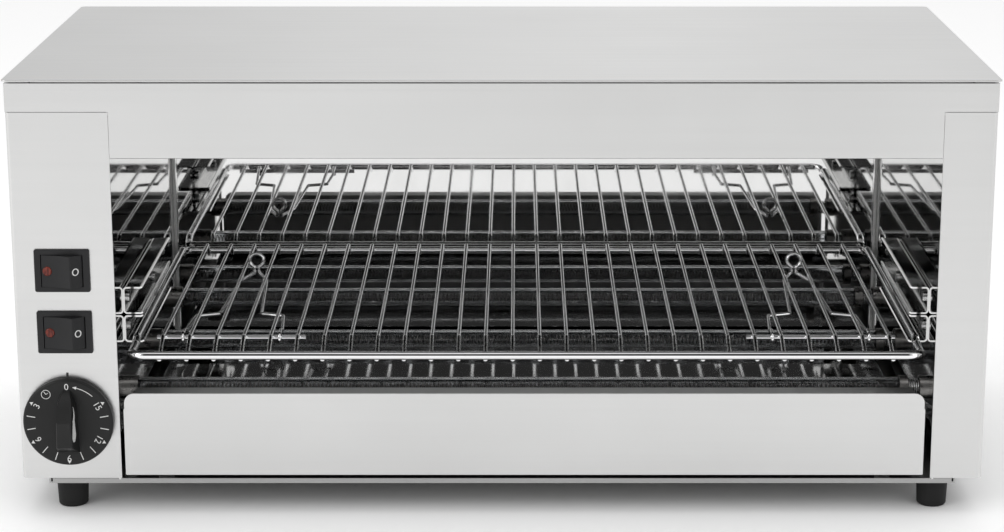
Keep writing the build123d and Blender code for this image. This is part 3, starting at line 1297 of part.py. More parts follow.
def make_rack_clips():
    """Two sprung wire clips: hooked over the rods, under the cross wires, ring standing up."""
    hook = (ROD_WIRE + CLIP_WIRE) / 2 + CLIP_CLEARANCE
    leg_z = CROSS_Z - (CROSS_WIRE + CLIP_WIRE) / 2 - CLIP_CLEARANCE
    hook_top = RAIL_Z + hook
    centres = CLIP_RING_RADIUS + CLIP_FLARE
    outward = (CLIP_NECK_HALF + CLIP_FLARE) / centres
    downward = sqrt(1 - outward**2)
    flare_z = CLIP_RING_Z - downward * centres
    half_flare = acos(outward) / 2
    rod = at(ROD_DEPTH)
    neck = at(CLIP_NECK_DEPTH)
    with BuildPart() as rack_clips:
        for side in (-1, 1):
            gap_index = (WIRE_COUNT - 1) / 2 - CLIP_AFTER - 0.5
            middle = CAVITY_MIDDLE + side * gap_index * WIRE_PITCH
            for hand in (-1, 1):
                hook_x = middle + hand * CLIP_HOOK_HALF
                neck_x = middle + hand * CLIP_NECK_HALF
                joint = (
                    middle + hand * outward * CLIP_RING_RADIUS,
                    neck,
                    CLIP_RING_Z - downward * CLIP_RING_RADIUS,
                )
                with BuildLine() as half_clip:
                    ThreePointArc(
                        (hook_x, rod, RAIL_Z - hook),
                        (hook_x, rod - hook, RAIL_Z),
                        (hook_x, rod, hook_top),
                    )
                    FilletPolyline(
                        (hook_x, rod, hook_top),
                        (hook_x, rod + 2 * hook, hook_top),
                        (hook_x, rod + 5 * hook, leg_z),
                        (middle + hand * CLIP_LEG_HALF, at(CLIP_JOG_DEPTH), leg_z),
                        (middle + hand * CLIP_JOG_HALF, at(CLIP_JOG_DEPTH + CLIP_JOG_RUN), leg_z),
                        (middle + hand * CLIP_MIDDLE_HALF, at(CLIP_MIDDLE_DEPTH), leg_z),
                        (neck_x, neck, leg_z),
                        (neck_x, neck, flare_z),
                        radius=CLIP_BEND,
                    )
                    ThreePointArc(
                        (neck_x, neck, flare_z),
                        (
                            neck_x + hand * CLIP_FLARE * (1 - cos(half_flare)),
                            neck,
                            flare_z + CLIP_FLARE * sin(half_flare),
                        ),
                        joint,
                    )
                    ThreePointArc(
                        joint,
                        (middle + hand * CLIP_RING_RADIUS, neck, CLIP_RING_Z),
                        (middle, neck, CLIP_RING_Z + CLIP_RING_RADIUS),
                    )
                round_bar_along(half_clip.line, CLIP_WIRE)
    save(rack_clips, "rack_clips")


make_base_pan()
make_top_cover()
make_front_fascia()
make_side_panels()
make_rear_panel()
make_case_screws()
make_liners()
make_rack_guides()
make_tubes()
make_tube_ends()
print_least_gap(make_springs(), SPRING_WIRE, "tube spring")
make_timer()
make_timer_knob()
for switch_name, switch_z in SWITCH_LEVELS.items():
    make_switch(switch_name, switch_z)
make_feet()
make_cable_gland()
make_wiring()
make_heat_shield()
make_crumb_tray()
make_rack_grid()
make_rack_clips()
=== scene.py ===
from math import cos, pi, radians, sin, sqrt

import bmesh
import bpy
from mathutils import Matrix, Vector
from mathutils.bvhtree import BVHTree


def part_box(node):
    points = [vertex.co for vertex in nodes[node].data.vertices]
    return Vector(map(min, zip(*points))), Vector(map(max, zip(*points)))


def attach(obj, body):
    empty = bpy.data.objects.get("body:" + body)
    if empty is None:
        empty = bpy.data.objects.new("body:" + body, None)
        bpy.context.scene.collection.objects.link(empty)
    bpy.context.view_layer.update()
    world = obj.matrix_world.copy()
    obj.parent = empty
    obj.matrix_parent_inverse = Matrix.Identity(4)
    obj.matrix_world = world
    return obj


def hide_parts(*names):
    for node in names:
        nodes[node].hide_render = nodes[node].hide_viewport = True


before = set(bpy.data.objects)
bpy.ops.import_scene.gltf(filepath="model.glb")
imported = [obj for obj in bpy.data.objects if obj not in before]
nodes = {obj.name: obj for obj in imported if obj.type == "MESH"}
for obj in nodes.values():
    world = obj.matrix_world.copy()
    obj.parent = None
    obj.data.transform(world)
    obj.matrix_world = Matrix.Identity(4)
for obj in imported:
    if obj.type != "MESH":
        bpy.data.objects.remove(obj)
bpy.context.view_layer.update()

# Camera, fitted to the edges of the cabinet in the photograph
FRAME_WIDTH = 1004
CAMERA_AHEAD = 1.3927  # metres in front of the front panels
CAMERA_HEIGHT = 0.520
CAMERA_X = 0.0088
CAMERA_TILT = 14.09  # degrees below level
FOCAL_PIXELS = 2485
SENSOR_WIDTH = 36.0
SHIFT_X = -0.015
SHIFT_Y = -0.03
CAMERA_SIGHT = 50  # metres

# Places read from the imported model
FRONT_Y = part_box("front_fascia")[0].y
KNOB_LOW, KNOB_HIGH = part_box("timer_knob")
KNOB_X = (KNOB_LOW.x + KNOB_HIGH.x) / 2
KNOB_Z = (KNOB_LOW.z + KNOB_HIGH.z) / 2
PRINT_START = 0.02  # from where a print is laid on the surface behind it

# Dial print, in metres from the dial's axis
PRINT_THICK = 0.00005
DIGIT_SIZE = 0.0054
DIGIT_RADIUS = 0.0206
UPRIGHT_RADIUS = 0.0220  # of the numbers at the top and at the bottom
TRIANGLE_OUT = 0.0253
TRIANGLE_IN = 0.0234
TRIANGLE_HALF = 0.0012
TICK_IN = 0.0193
TICK_OUT = 0.0243
TICK_HALF = 0.00025
ARROW_RADIUS = 0.0220
ARROW_FROM, ARROW_TO, ARROW_TIP = 47, 75, 81  # degrees, counted from the right
ARROW_HALF = 0.00022
ARROW_HEAD_HALF = 0.0010
ARROW_STEPS = 16
CLOCK_RADIUS = 0.0212
CLOCK_ANGLE = 125
CLOCK_SIZE = 0.0028
CLOCK_LINE = 1.6 * ARROW_HALF
CLOCK_STEP = 15  # degrees between two points of its ring
CLOCK_HANDS = ((125, 0.72), (35, 0.55))  # direction and length of each hand
DIAL_STEP = 60  # degrees between two numbers
DIAL_NUMBERS = ("0", "3", "6", "9", "12", "15")

# Pointer on the grip's right flank: heights over the axis and distances out of the front panels
POINTER_BOTTOM, POINTER_TIP = -0.0093, 0.0128
POINTER_OUT, POINTER_TIP_OUT = 0.0150, 0.0125
POINTER_HALF = 0.0036
POINTER_ROUND = 0.16  # share of its length that the round end takes
POINTER_STEPS = 32

# Marks on the panel and on the rockers
INDEX_Z = 0.0867
INDEX_SIZE = (0.0014, 0.0024)
RING_X = 0.0083  # ring's centre to the switch's axis
RING_SIZE = (0.0034, 0.0044)
RING_LINE = 0.0006
RING_STEPS = 40

# Painted highlight bands in the cooking space's rear corners
SHEET = 0.001
CAVITY_DEPTH = 0.262  # front panels to the polished face of the rear wall
BAND_RADIUS = 0.003
BAND_LIFT = 0.00005
BAND_THICK = 0.0001
BAND_END = 0.001
BAND_SPAN = (0.25, 0.75)  # share of the quarter bend that it covers
BAND_STEPS = 8

# Wound heating wire
COIL_WIRE = 0.00035
COIL_RADIUS = 0.0026
COIL_PITCH = 0.0024
COIL_LEAD = 0.008  # straight end of the wire
COIL_SIDES = 6
COIL_STEPS = 12  # points in one turn

# Light: the floor's own glow and the surroundings' levels
FLOOR_HALF = 6.0
FLOOR_GLOW = 0.38
OPEN_DISTANCE = 0.3  # the floor's glow fades where something stands this near, so its darkness near the object is partly painted shade and partly the real shadow
WORLD_LIGHT = 0.55
WORLD_AHEAD = 0.05  # straight ahead of the object, where the camera stands
AHEAD_SPAN = (0.2, 0.42)  # the dark part ends between these shares to each side
LOW_SPAN = (0.1, 0.2)  # and between these shares downwards
SIDE_SPAN = (-0.3, 0.1)  # and between these shares towards the back
WORLD_ACROSS = ((0.0, 0.75), (0.38, 0.72), (0.52, 1.0), (0.65, 0.76), (1.0, 0.8))  # from left to right

# Materials
STEEL = (0.67, 0.67, 0.665)
MIRROR = (0.74, 0.74, 0.735)
NOISE_SPAN = (0.3, 0.7)  # part of a noise's values that is spread over a look's range


def look(name, colour, metallic=0.0, roughness=0.5, **sockets):
    """Make a Principled material and return it with its shader."""
    material = bpy.data.materials.new(name)
    material.use_nodes = True
    shader = material.node_tree.nodes["Principled BSDF"]
    shader.inputs["Base Color"].default_value = (*colour, 1)
    shader.inputs["Metallic"].default_value = metallic
    shader.inputs["Roughness"].default_value = roughness
    for socket, value in sockets.items():
        shader.inputs[socket.replace("_", " ")].default_value = value
    return material, shader


def noise(material, scale, detail=3.0, kind="ShaderNodeTexNoise", output=0):
    """Add a noise over the object's own coordinates, with a scale for each axis, per metre."""
    tree = material.node_tree
    place = tree.nodes.new("ShaderNodeTexCoord")
    mapping = tree.nodes.new("ShaderNodeMapping")
    texture = tree.nodes.new(kind)
    mapping.inputs["Scale"].default_value = scale if hasattr(scale, "__len__") else (scale,) * 3
    texture.inputs["Scale"].default_value = 1.0
    if "Detail" in texture.inputs:
        texture.inputs["Detail"].default_value = detail
    tree.links.new(place.outputs["Object"], mapping.inputs["Vector"])
    tree.links.new(mapping.outputs["Vector"], texture.inputs["Vector"])
    return texture.outputs[output]


def remap(tree, source, low, high, start=0.0, end=1.0):
    """Node output that runs from low to high while the source runs from start to end."""
    node = tree.nodes.new("ShaderNodeMapRange")
    node.inputs["From Min"].default_value = start
    node.inputs["From Max"].default_value = end
    for name, value in (("To Min", low), ("To Max", high)):
        if hasattr(value, "is_linked"):
            tree.links.new(value, node.inputs[name])
        else:
            node.inputs[name].default_value = value
    tree.links.new(source, node.inputs["Value"])
    return node.outputs["Result"]


def spread(material, source, socket, low, high):
    """Drive a shader's number from a noise, between two values."""
    tree = material.node_tree
    tree.links.new(remap(tree, source, low, high, *NOISE_SPAN), socket)


def tint(material, source, socket, low, high):
    """Drive a shader's colour from a noise, between two colours."""
    tree = material.node_tree
    ramp = tree.nodes.new("ShaderNodeValToRGB")
    for element, position, colour in zip(ramp.color_ramp.elements, NOISE_SPAN, (low, high)):
        element.position = position
        element.color = (*colour, 1)
    tree.links.new(source, ramp.inputs["Fac"])
    tree.links.new(ramp.outputs["Color"], socket)


def bump(material, shader, source, distance, strength):
    """Raise the surface by a noise, in metres."""
    tree = material.node_tree
    node = tree.nodes.new("ShaderNodeBump")
    node.inputs["Distance"].default_value = distance
    node.inputs["Strength"].default_value = strength
    tree.links.new(source, node.inputs["Height"])
    tree.links.new(node.outputs["Normal"], shader.inputs["Normal"])


def shade(colour, factor):
    """A colour made darker or lighter by a factor."""
    return tuple(min(1.0, channel * factor) for channel in colour)


def brushed_steel(name, grain, colour=STEEL, roughness=0.33):
    """Satin stainless steel, with the grain's scale along each axis."""
    material, shader = look(name, colour, metallic=1.0, roughness=roughness)
    lines = noise(material, grain, detail=4)
    clouds = noise(material, 7, detail=3)
    tint(material, clouds, shader.inputs["Base Color"], shade(colour, 0.965), shade(colour, 1.02))
    spread(material, lines, shader.inputs["Roughness"], roughness - 0.05, roughness + 0.06)
    bump(material, shader, lines, 0.00002, 0.35)
    return material


def mirror_steel(name, colour=MIRROR, roughness=0.02):
    """Polished stainless steel with faint wiping marks and a sheet's slight waves."""
    material, shader = look(name, colour, metallic=1.0, roughness=roughness)
    smears = noise(material, (60, 60, 22), detail=5)
    waves = noise(material, 6, detail=1)
    spread(material, smears, shader.inputs["Roughness"], roughness * 0.5, roughness * 2.0)
    tint(material, smears, shader.inputs["Base Color"], shade(colour, 0.94), shade(colour, 1.02))
    bump(material, shader, waves, 0.0001, 0.3)
    return material


def chrome(name):
    """Bright plating over drawn wire."""
    material, shader = look(name, (0.9, 0.9, 0.905), metallic=1.0, roughness=0.045)
    dulling = noise(material, 120, detail=4)
    spread(material, dulling, shader.inputs["Roughness"], 0.027, 0.099)
    bump(material, shader, noise(material, 700, detail=2), 0.00003, 0.25)
    return material


def plain_metal(name, colour, roughness, scale=260, relief=0.00004):
    """Pressed or turned metal with a fine uneven surface."""
    material, shader = look(name, colour, metallic=1.0, roughness=roughness)
    grain = noise(material, scale, detail=4)
    tint(material, grain, shader.inputs["Base Color"], shade(colour, 0.82), shade(colour, 1.08))
    spread(material, grain, shader.inputs["Roughness"], roughness - 0.07, roughness + 0.1)
    bump(material, shader, grain, relief, 0.4)
    return material


def galvanised_steel(name):
    """Zinc-coated sheet with its spangle."""
    material, shader = look(name, (0.5, 0.51, 0.52), metallic=1.0, roughness=0.42)
    spangle = noise(material, 90, kind="ShaderNodeTexVoronoi", output=1)
    tree = material.node_tree
    grey = tree.nodes.new("ShaderNodeRGBToBW")
    tree.links.new(spangle, grey.inputs["Color"])
    tint(material, grey.outputs["Val"], shader.inputs["Base Color"], (0.4, 0.41, 0.42), (0.58, 0.59, 0.6))
    spread(material, grey.outputs["Val"], shader.inputs["Roughness"], 0.34, 0.5)
    bump(material, shader, noise(material, 500, detail=3), 0.00002, 0.3)
    return material


def moulded(name, colour, roughness, grain=1500, relief=0.00005, gloss=0.5):
    """Moulded plastic or rubber with a fine spark-eroded grain and a slight unevenness of gloss."""
    material, shader = look(name, colour, roughness=roughness, Specular_IOR_Level=gloss)
    fine = noise(material, grain, detail=3)
    clouds = noise(material, 45, detail=3)
    tint(material, clouds, shader.inputs["Base Color"], shade(colour, 0.85), shade(colour, 1.2))
    spread(material, clouds, shader.inputs["Roughness"], roughness - 0.04, roughness + 0.04)
    bump(material, shader, fine, relief, 0.5)
    return material


def quartz_glass(name):
    """Clear quartz tube, a little clouded by use."""
    clear = (0.86, 0.87, 0.88)
    material, shader = look(name, clear, roughness=0.04, IOR=1.46, Transmission_Weight=1.0)
    haze = noise(material, (14, 90, 90), detail=3)
    spread(material, haze, shader.inputs["Roughness"], 0.02, 0.16)
    bump(material, shader, noise(material, (10, 160, 160), detail=1), 0.00005, 0.3)
    return material


def lamp_lens(name):
    """Unlit red lamp cover with fine ribs moulded inside."""
    material, shader = look(name, (0.14, 0.015, 0.009), roughness=0.25, Specular_IOR_Level=0.35)
    ribs = noise(material, (900, 900, 260), detail=1)
    tint(material, ribs, shader.inputs["Base Color"], (0.05, 0.004, 0.003), (0.24, 0.04, 0.024))
    bump(material, shader, ribs, 0.00015, 0.6)
    return material


def woven_sleeve(name):
    """Glass-fibre sleeve over a lead."""
    material, shader = look(name, (0.6, 0.57, 0.49), roughness=0.85)
    weave = noise(material, (1400, 420, 1400), detail=1)
    tint(material, weave, shader.inputs["Base Color"], (0.42, 0.39, 0.32), (0.68, 0.65, 0.57))
    bump(material, shader, weave, 0.0002, 0.8)
    return material


def printed(name, colour=(0.86, 0.86, 0.85)):
    """Opaque ink, a little worn; the corner bands use it as a near-white painted highlight."""
    material, shader = look(name, colour, roughness=0.5)
    wear = noise(material, 900, detail=3)
    tint(material, wear, shader.inputs["Base Color"], shade(colour, 0.86), shade(colour, 1.05))
    bump(material, shader, wear, 0.00001, 0.4)
    return material


def dress_nodes():
    """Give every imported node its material."""
    upright = brushed_steel("SatinUpright", (5, 5, 1100))
    flat = brushed_steel("SatinFlat", (5, 1100, 1100))
    # the base pan's steel is the panels' steel darkened to 0.62: painted shade under the cabinet's
    # overhang
    base = brushed_steel("SatinBasePaintedShade", (5, 900, 900), shade(STEEL, 0.62), 0.38)
    polished = mirror_steel("Polished")
    tray = mirror_steel("TrayPan", (0.5, 0.5, 0.5), 0.03)
    guide = mirror_steel("GuideSteel", shade(MIRROR, 0.95), 0.05)
    zinc = galvanised_steel("Galvanised")
    screw = plain_metal("ScrewSteel", (0.62, 0.62, 0.62), 0.25)
    cup = plain_metal("EndCup", (0.36, 0.35, 0.34), 0.3)
    spring = plain_metal("SpringSteel", (0.55, 0.55, 0.55), 0.25, scale=500)
    bright = chrome("RackChrome")
    quartz = quartz_glass("Quartz")
    coil = plain_metal("CoilWire", (0.16, 0.15, 0.14), 0.5, scale=900)
    brass = plain_metal("BrassStrip", (0.72, 0.57, 0.3), 0.3)
    inner = moulded("InnerPlastic", (0.72, 0.7, 0.63), 0.55)
    knob = moulded("KnobPlastic", (0.014, 0.014, 0.014), 0.4, grain=1300, relief=0.00003, gloss=0.28)
    switch = moulded("SwitchBlack", (0.017, 0.017, 0.018), 0.5, gloss=0.3)
    gland = moulded("GlandPlastic", (0.03, 0.03, 0.032), 0.5)
    rubber = moulded("Rubber", (0.014, 0.014, 0.014), 0.68, grain=700, relief=0.00012, gloss=0.3)
    groups = {
        upright: ["front_fascia", "left_side_panel", "right_side_panel", "rear_panel", "crumb_tray_front"],
        flat: ["top_cover"],
        base: ["base_pan"],
        polished: ["cavity_left_wall", "cavity_right_wall", "cavity_rear_wall", "upper_reflector"],
        tray: ["crumb_tray_pan"],
        guide: [n for n in nodes if n.startswith("rack_guide")],
        zinc: ["heat_shield"],
        screw: ["case_screws", "guide_screws", "timer_screws", "foot_screws"],
        cup: [n for n in nodes if n.endswith(("_caps", "_spring_holders"))],
        spring: [n for n in nodes if n.endswith("_tube_springs")],
        bright: ["rack_grid", "rack_clips"],
        quartz: [n for n in nodes if "_tube_" in n and not n.endswith("_springs")],
        coil: ["heating_coils"],
        brass: ["bus_bars", "earth_stud"] + [n for n in nodes if n.endswith("_terminals")],
        inner: ["timer_body", "terminal_block"],
        knob: ["timer_knob"],
        switch: [n for n in nodes if n.endswith(("_housing", "_rocker"))],
        lamp_lens("LampLens"): [n for n in nodes if n.endswith("_lens")],
        gland: ["gland_body", "gland_nut"],
        rubber: ["gland_seal"] + [n for n in nodes if n.startswith("foot_") and n != "foot_screws"],
        woven_sleeve("WovenSleeve"): ["wiring_loom"],
        plain_metal("ShaftSteel", (0.6, 0.6, 0.6), 0.3): ["timer_shaft"],
    }
    dressed = set()
    for material, names in groups.items():
        for name in names:
            for slot in nodes[name].material_slots:
                slot.material = material
            dressed.add(name)
    left = set(nodes) - dressed
    if left:
        raise ValueError(f"nodes without a material: {sorted(left)}")


def calculate(tree, operation, first, second=None):
    """Output of a Math node with one or two linked inputs."""
    node = tree.nodes.new("ShaderNodeMath")
    node.operation = operation
    tree.links.new(first, node.inputs[0])
    if second is not None:
        tree.links.new(second, node.inputs[1])
    return node.outputs[0]


def seen_rays(tree):
    """One where the camera, a reflection or a view through glass looks, and zero for light.

    The second output is one for the camera alone.
    """
    rays = tree.nodes.new("ShaderNodeLightPath").outputs
    mirrored = calculate(tree, "MAXIMUM", rays["Is Camera Ray"], rays["Is Glossy Ray"])
    return calculate(tree, "MAXIMUM", mirrored, rays["Is Transmission Ray"]), rays["Is Camera Ray"]


def make_floor():
    """Pale floor under the object, which reads white to the camera and keeps the shadow; its glow fades by
    ambient occlusion, which adds painted shade near the object.
    """
    mesh = bpy.data.meshes.new("Floor")
    corners = [(x * FLOOR_HALF, y * FLOOR_HALF, 0) for x, y in ((-1, -1), (1, -1), (1, 1), (-1, 1))]
    mesh.from_pydata(corners, [], [(0, 1, 2, 3)])
    floor = bpy.data.objects.new("Floor", mesh)
    bpy.context.scene.collection.objects.link(floor)
    material = bpy.data.materials.new("Floor")
    material.use_nodes = True
    tree = material.node_tree
    shader = tree.nodes["Principled BSDF"]
    shader.inputs["Base Color"].default_value = (0.9, 0.9, 0.9, 1)
    shader.inputs["Roughness"].default_value = 0.9
    shader.inputs["Specular IOR Level"].default_value = 0.1
    shader.inputs["Emission Color"].default_value = (1, 1, 1, 1)
    seen = seen_rays(tree)[0]
    openness = tree.nodes.new("ShaderNodeAmbientOcclusion")
    openness.inputs["Distance"].default_value = OPEN_DISTANCE
    glow = remap(tree, openness.outputs["AO"], 0.0, FLOOR_GLOW, 0.1, 0.9)
    tree.links.new(remap(tree, seen, 0.0, glow), shader.inputs["Emission Strength"])
    mesh.materials.append(material)


def make_world():
    """White behind the object, with darker surroundings ahead of it for the reflections."""
    world = bpy.data.worlds.new("Studio")
    bpy.context.scene.world = world
    world.use_nodes = True
    tree = world.node_tree
    background = tree.nodes["Background"]
    background.inputs["Color"].default_value = (1, 1, 1, 1)
    place = tree.nodes.new("ShaderNodeTexCoord")
    split = tree.nodes.new("ShaderNodeSeparateXYZ")
    tree.links.new(place.outputs["Generated"], split.inputs["Vector"])
    across = tree.nodes.new("ShaderNodeValToRGB")
    tree.links.new(remap(tree, split.outputs["X"], 0.0, 1.0, -1.0, 1.0), across.inputs["Fac"])
    steps = across.color_ramp.elements
    for position, _ in WORLD_ACROSS[1:-1]:
        steps.new(position)
    for step, (_, level) in zip(steps, WORLD_ACROSS):
        step.color = (level, level, level, 1)
    low = remap(tree, split.outputs["Z"], 1.0, WORLD_AHEAD, *LOW_SPAN)
    middle = remap(tree, calculate(tree, "ABSOLUTE", split.outputs["X"]), low, 1.0, *AHEAD_SPAN)
    ahead = remap(tree, split.outputs["Y"], middle, 1.0, *SIDE_SPAN)
    mirrored = calculate(tree, "MULTIPLY", across.outputs["Color"], ahead)
    seen, camera = seen_rays(tree)
    level = remap(tree, seen, WORLD_LIGHT, mirrored)
    tree.links.new(remap(tree, camera, level, 1.0), background.inputs["Strength"])


def make_lamp(name, place, target, size, power):
    """Rectangular soft lamp aimed at a point."""
    data = bpy.data.lights.new(name, "AREA")
    data.shape = "RECTANGLE"
    data.size, data.size_y = size
    data.energy = power
    lamp = bpy.data.objects.new(name, data)
    lamp.location = place
    lamp.rotation_euler = (Vector(target) - Vector(place)).to_track_quat("-Z", "Y").to_euler()
    bpy.context.scene.collection.objects.link(lamp)


def make_lamps():
    """Large soft lamps above, to the left and to the right: place, target, size and watts."""
    make_lamp("LampAbove", (0.1, -0.1, 1.9), (0, 0, 0.1), (2.2, 1.6), 8)
    make_lamp("LampLeft", (-1.7, -1.4, 1.1), (0, 0, 0.15), (1.2, 1.2), 12)
    make_lamp("LampRight", (1.8, -1.6, 0.9), (0, 0, 0.15), (1.0, 1.2), 3)


def make_camera():
    """Camera at the photograph's viewpoint."""
    data = bpy.data.cameras.new("Camera")
    data.sensor_width = SENSOR_WIDTH
    data.lens = FOCAL_PIXELS * SENSOR_WIDTH / FRAME_WIDTH
    data.shift_x = SHIFT_X
    data.shift_y = SHIFT_Y
    data.clip_end = CAMERA_SIGHT
    camera = bpy.data.objects.new("Camera", data)
    camera.location = (CAMERA_X, FRONT_Y - CAMERA_AHEAD, CAMERA_HEIGHT)
    camera.rotation_euler = (radians(90 - CAMERA_TILT), 0, 0)
    bpy.context.scene.collection.objects.link(camera)
    bpy.context.scene.camera = camera


def new_piece(name, verts, faces, material, body, smooth=False):
    """Make a mesh piece in place, give it its material and let it ride on a body."""
    mesh = bpy.data.meshes.new(name)
    mesh.from_pydata(verts, [], faces)
    mesh.validate()
    mesh.materials.append(material)
    if smooth:
        mesh.shade_smooth()
    else:
        mesh.shade_flat()
    piece = bpy.data.objects.new(name, mesh)
    bpy.context.scene.collection.objects.link(piece)
    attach(piece, body)
    return piece


def surface_of(*names):
    """Search tree over the surfaces of some CAD nodes."""
    verts = []
    faces = []
    for name in names:
        mesh = nodes[name].data
        first = len(verts)
        verts.extend(vertex.co.copy() for vertex in mesh.vertices)
        faces.extend([first + index for index in polygon.vertices] for polygon in mesh.polygons)
    return BVHTree.FromPolygons(verts, faces)


class Print:
    """Flat ink shapes laid on a surface, gathered into one piece."""

    def __init__(self, surface, direction):
        self.surface = surface
        self.direction = Vector(direction)
        self.verts = []
        self.faces = []

    def add(self, points, faces):
        """Lay points along the direction on the surface, with a thin edge around each face set."""
        low = []
        high = []
        for point in points:
            start = Vector(point)
            hit = self.surface.ray_cast(start, self.direction)[0]
            if hit is None:
                raise ValueError(f"print misses its surface at {tuple(point)}")
            low.append(hit + self.direction * PRINT_THICK)
            high.append(hit - self.direction * PRINT_THICK)
        first = len(self.verts)
        count = len(points)
        self.verts.extend(high + low)
        uses = {}
        for face in faces:
            self.faces.append([first + index for index in face])
            for a, b in zip(face, face[1:] + face[:1]):
                uses[(a, b)] = uses.get((a, b), 0) + 1
        for a, b in uses:
            if (b, a) not in uses:
                self.faces.append([first + b, first + a, first + count + a, first + count + b])

    def strip(self, left, right, closed=False):
        """Lay a band between two lines of points."""
        points = list(left) + list(right)
        count = len(left)
        spans = [(index, index + 1) for index in range(count - 1)]
        if closed:
            spans.append((count - 1, 0))
        self.add(points, [[a, b, count + b, count + a] for a, b in spans])


def dial_point(radius, angle, shift=0.0):
    """Point ahead of the dial at a radius and an angle, moved sideways by a shift."""
    turn = radians(angle)
    x = KNOB_X + radius * cos(turn) - shift * sin(turn)
    z = KNOB_Z + radius * sin(turn) + shift * cos(turn)
    return x, KNOB_LOW.y - PRINT_START, z


def lay_digits(ink, text, radius, angle):
    """Lay a number on the dial with its top outward."""
    curve = bpy.data.curves.new("Digits", "FONT")
    curve.body = text
    curve.size = DIGIT_SIZE
    curve.align_x = "CENTER"
    curve.resolution_u = 5
    carrier = bpy.data.objects.new("Digits", curve)
    mesh = bpy.data.meshes.new_from_object(carrier)
    work = bmesh.new()
    work.from_mesh(mesh)
    bmesh.ops.remove_doubles(work, verts=work.verts, dist=1e-6)
    top = max(vertex.co.y for vertex in work.verts)
    points = [dial_point(radius + v.co.y - top / 2, angle, -v.co.x) for v in work.verts]
    work.verts.index_update()
    faces = [[vertex.index for vertex in face.verts] for face in work.faces]
    work.free()
    bpy.data.objects.remove(carrier)
    bpy.data.curves.remove(curve)
    bpy.data.meshes.remove(mesh)
    ink.add(points, faces)


def make_dial_print(white):
    """Numbers, marks, arrow and clock symbol on the dial's skirt."""
    ink = Print(surface_of("timer_knob"), (0, 1, 0))
    for index, text in enumerate(DIAL_NUMBERS):
        angle = 90 + DIAL_STEP * index
        lay_digits(ink, text, DIGIT_RADIUS if index % 3 else UPRIGHT_RADIUS, angle)
        if index:
            ink.add(
                [
                    dial_point(TRIANGLE_IN, angle, -TRIANGLE_HALF),
                    dial_point(TRIANGLE_IN, angle, TRIANGLE_HALF),
                    dial_point(TRIANGLE_OUT, angle),
                ],
                [[0, 1, 2]],
            )
        if 0 < index < len(DIAL_NUMBERS) - 1:
            for part in (1, 2):
                place = angle + DIAL_STEP * part / 3
                ink.add(
                    [
                        dial_point(TICK_IN, place, -TICK_HALF),
                        dial_point(TICK_OUT, place, -TICK_HALF),
                        dial_point(TICK_OUT, place, TICK_HALF),
                        dial_point(TICK_IN, place, TICK_HALF),
                    ],
                    [[0, 1, 2, 3]],
                )
    sweep = ARROW_TO - ARROW_FROM
    steps = [ARROW_FROM + sweep * step / ARROW_STEPS for step in range(ARROW_STEPS + 1)]
    ink.strip(
        [dial_point(ARROW_RADIUS + ARROW_HALF, angle) for angle in steps],
        [dial_point(ARROW_RADIUS - ARROW_HALF, angle) for angle in steps],
    )
    ink.add(
        [
            dial_point(ARROW_RADIUS + ARROW_HEAD_HALF, ARROW_TO),
            dial_point(ARROW_RADIUS, ARROW_TIP),
            dial_point(ARROW_RADIUS - ARROW_HEAD_HALF, ARROW_TO),
        ],
        [[0, 1, 2]],
    )
    middle = Vector(dial_point(CLOCK_RADIUS, CLOCK_ANGLE))
    around = [Vector((cos(radians(a)), 0, sin(radians(a)))) for a in range(0, 360, CLOCK_STEP)]
    ink.strip(
        [middle + CLOCK_SIZE * ray for ray in around],
        [middle + (CLOCK_SIZE - CLOCK_LINE) * ray for ray in around],
        closed=True,
    )
    for angle, length in CLOCK_HANDS:
        along = Vector((cos(radians(angle)), 0, sin(radians(angle))))
        side = Vector((-along.z, 0, along.x)) * CLOCK_LINE / 2
        tip = middle + along * CLOCK_SIZE * length
        ink.add([middle - side, tip - side, tip + side, middle + side], [[0, 1, 2, 3]])
    new_piece("DialPrint", ink.verts, ink.faces, white, "timer_dial")


def make_pointer(white):
    """White pointer on the right flank of the knob's grip, round at the bottom."""
    ink = Print(surface_of("timer_knob"), (-1, 0, 0))
    edges = ([], [])
    for step in range(1, POINTER_STEPS):
        share = step / POINTER_STEPS
        out = POINTER_OUT + (POINTER_TIP_OUT - POINTER_OUT) * share
        half = POINTER_HALF * min(sqrt(share / POINTER_ROUND), (1 - share) / (1 - POINTER_ROUND))
        z = KNOB_Z + POINTER_BOTTOM + (POINTER_TIP - POINTER_BOTTOM) * share
        for edge, side in zip(edges, (1, -1)):
            edge.append((KNOB_X + PRINT_START, FRONT_Y - out - side * half, z))
    ink.strip(*edges)
    new_piece("PointerMark", ink.verts, ink.faces, white, "timer_dial")


def make_marks(white, black):
    """Ring on each rocker and the index mark over the dial."""
    for level in ("upper", "lower"):
        low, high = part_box(f"switch_{level}_housing")
        middle = Vector(((low.x + high.x) / 2 + RING_X, low.y - PRINT_START, (low.z + high.z) / 2))
        ink = Print(surface_of(f"switch_{level}_rocker"), (0, 1, 0))
        edges = ([], [])
        for edge, inset in zip(edges, (0, RING_LINE)):
            half_x, half_z = (size / 2 - inset for size in RING_SIZE)
            for step in range(RING_STEPS):
                turn = 2 * pi * step / RING_STEPS
                edge.append(middle + Vector((half_x * cos(turn), 0, half_z * sin(turn))))
        ink.strip(*edges, closed=True)
        name = f"Switch{level.capitalize()}Ring"
        new_piece(name, ink.verts, ink.faces, white, f"{level}_rocker")
    ink = Print(surface_of("left_side_panel"), (0, 1, 0))
    corners = []
    for side, up in ((-1, -1), (1, -1), (1, 1), (-1, 1)):
        x = KNOB_X + side * INDEX_SIZE[0] / 2
        corners.append((x, FRONT_Y - PRINT_START, INDEX_Z + up * INDEX_SIZE[1] / 2))
    ink.add(corners, [[0, 1, 2, 3]])
    new_piece("DialIndex", ink.verts, ink.faces, black, "cabinet")


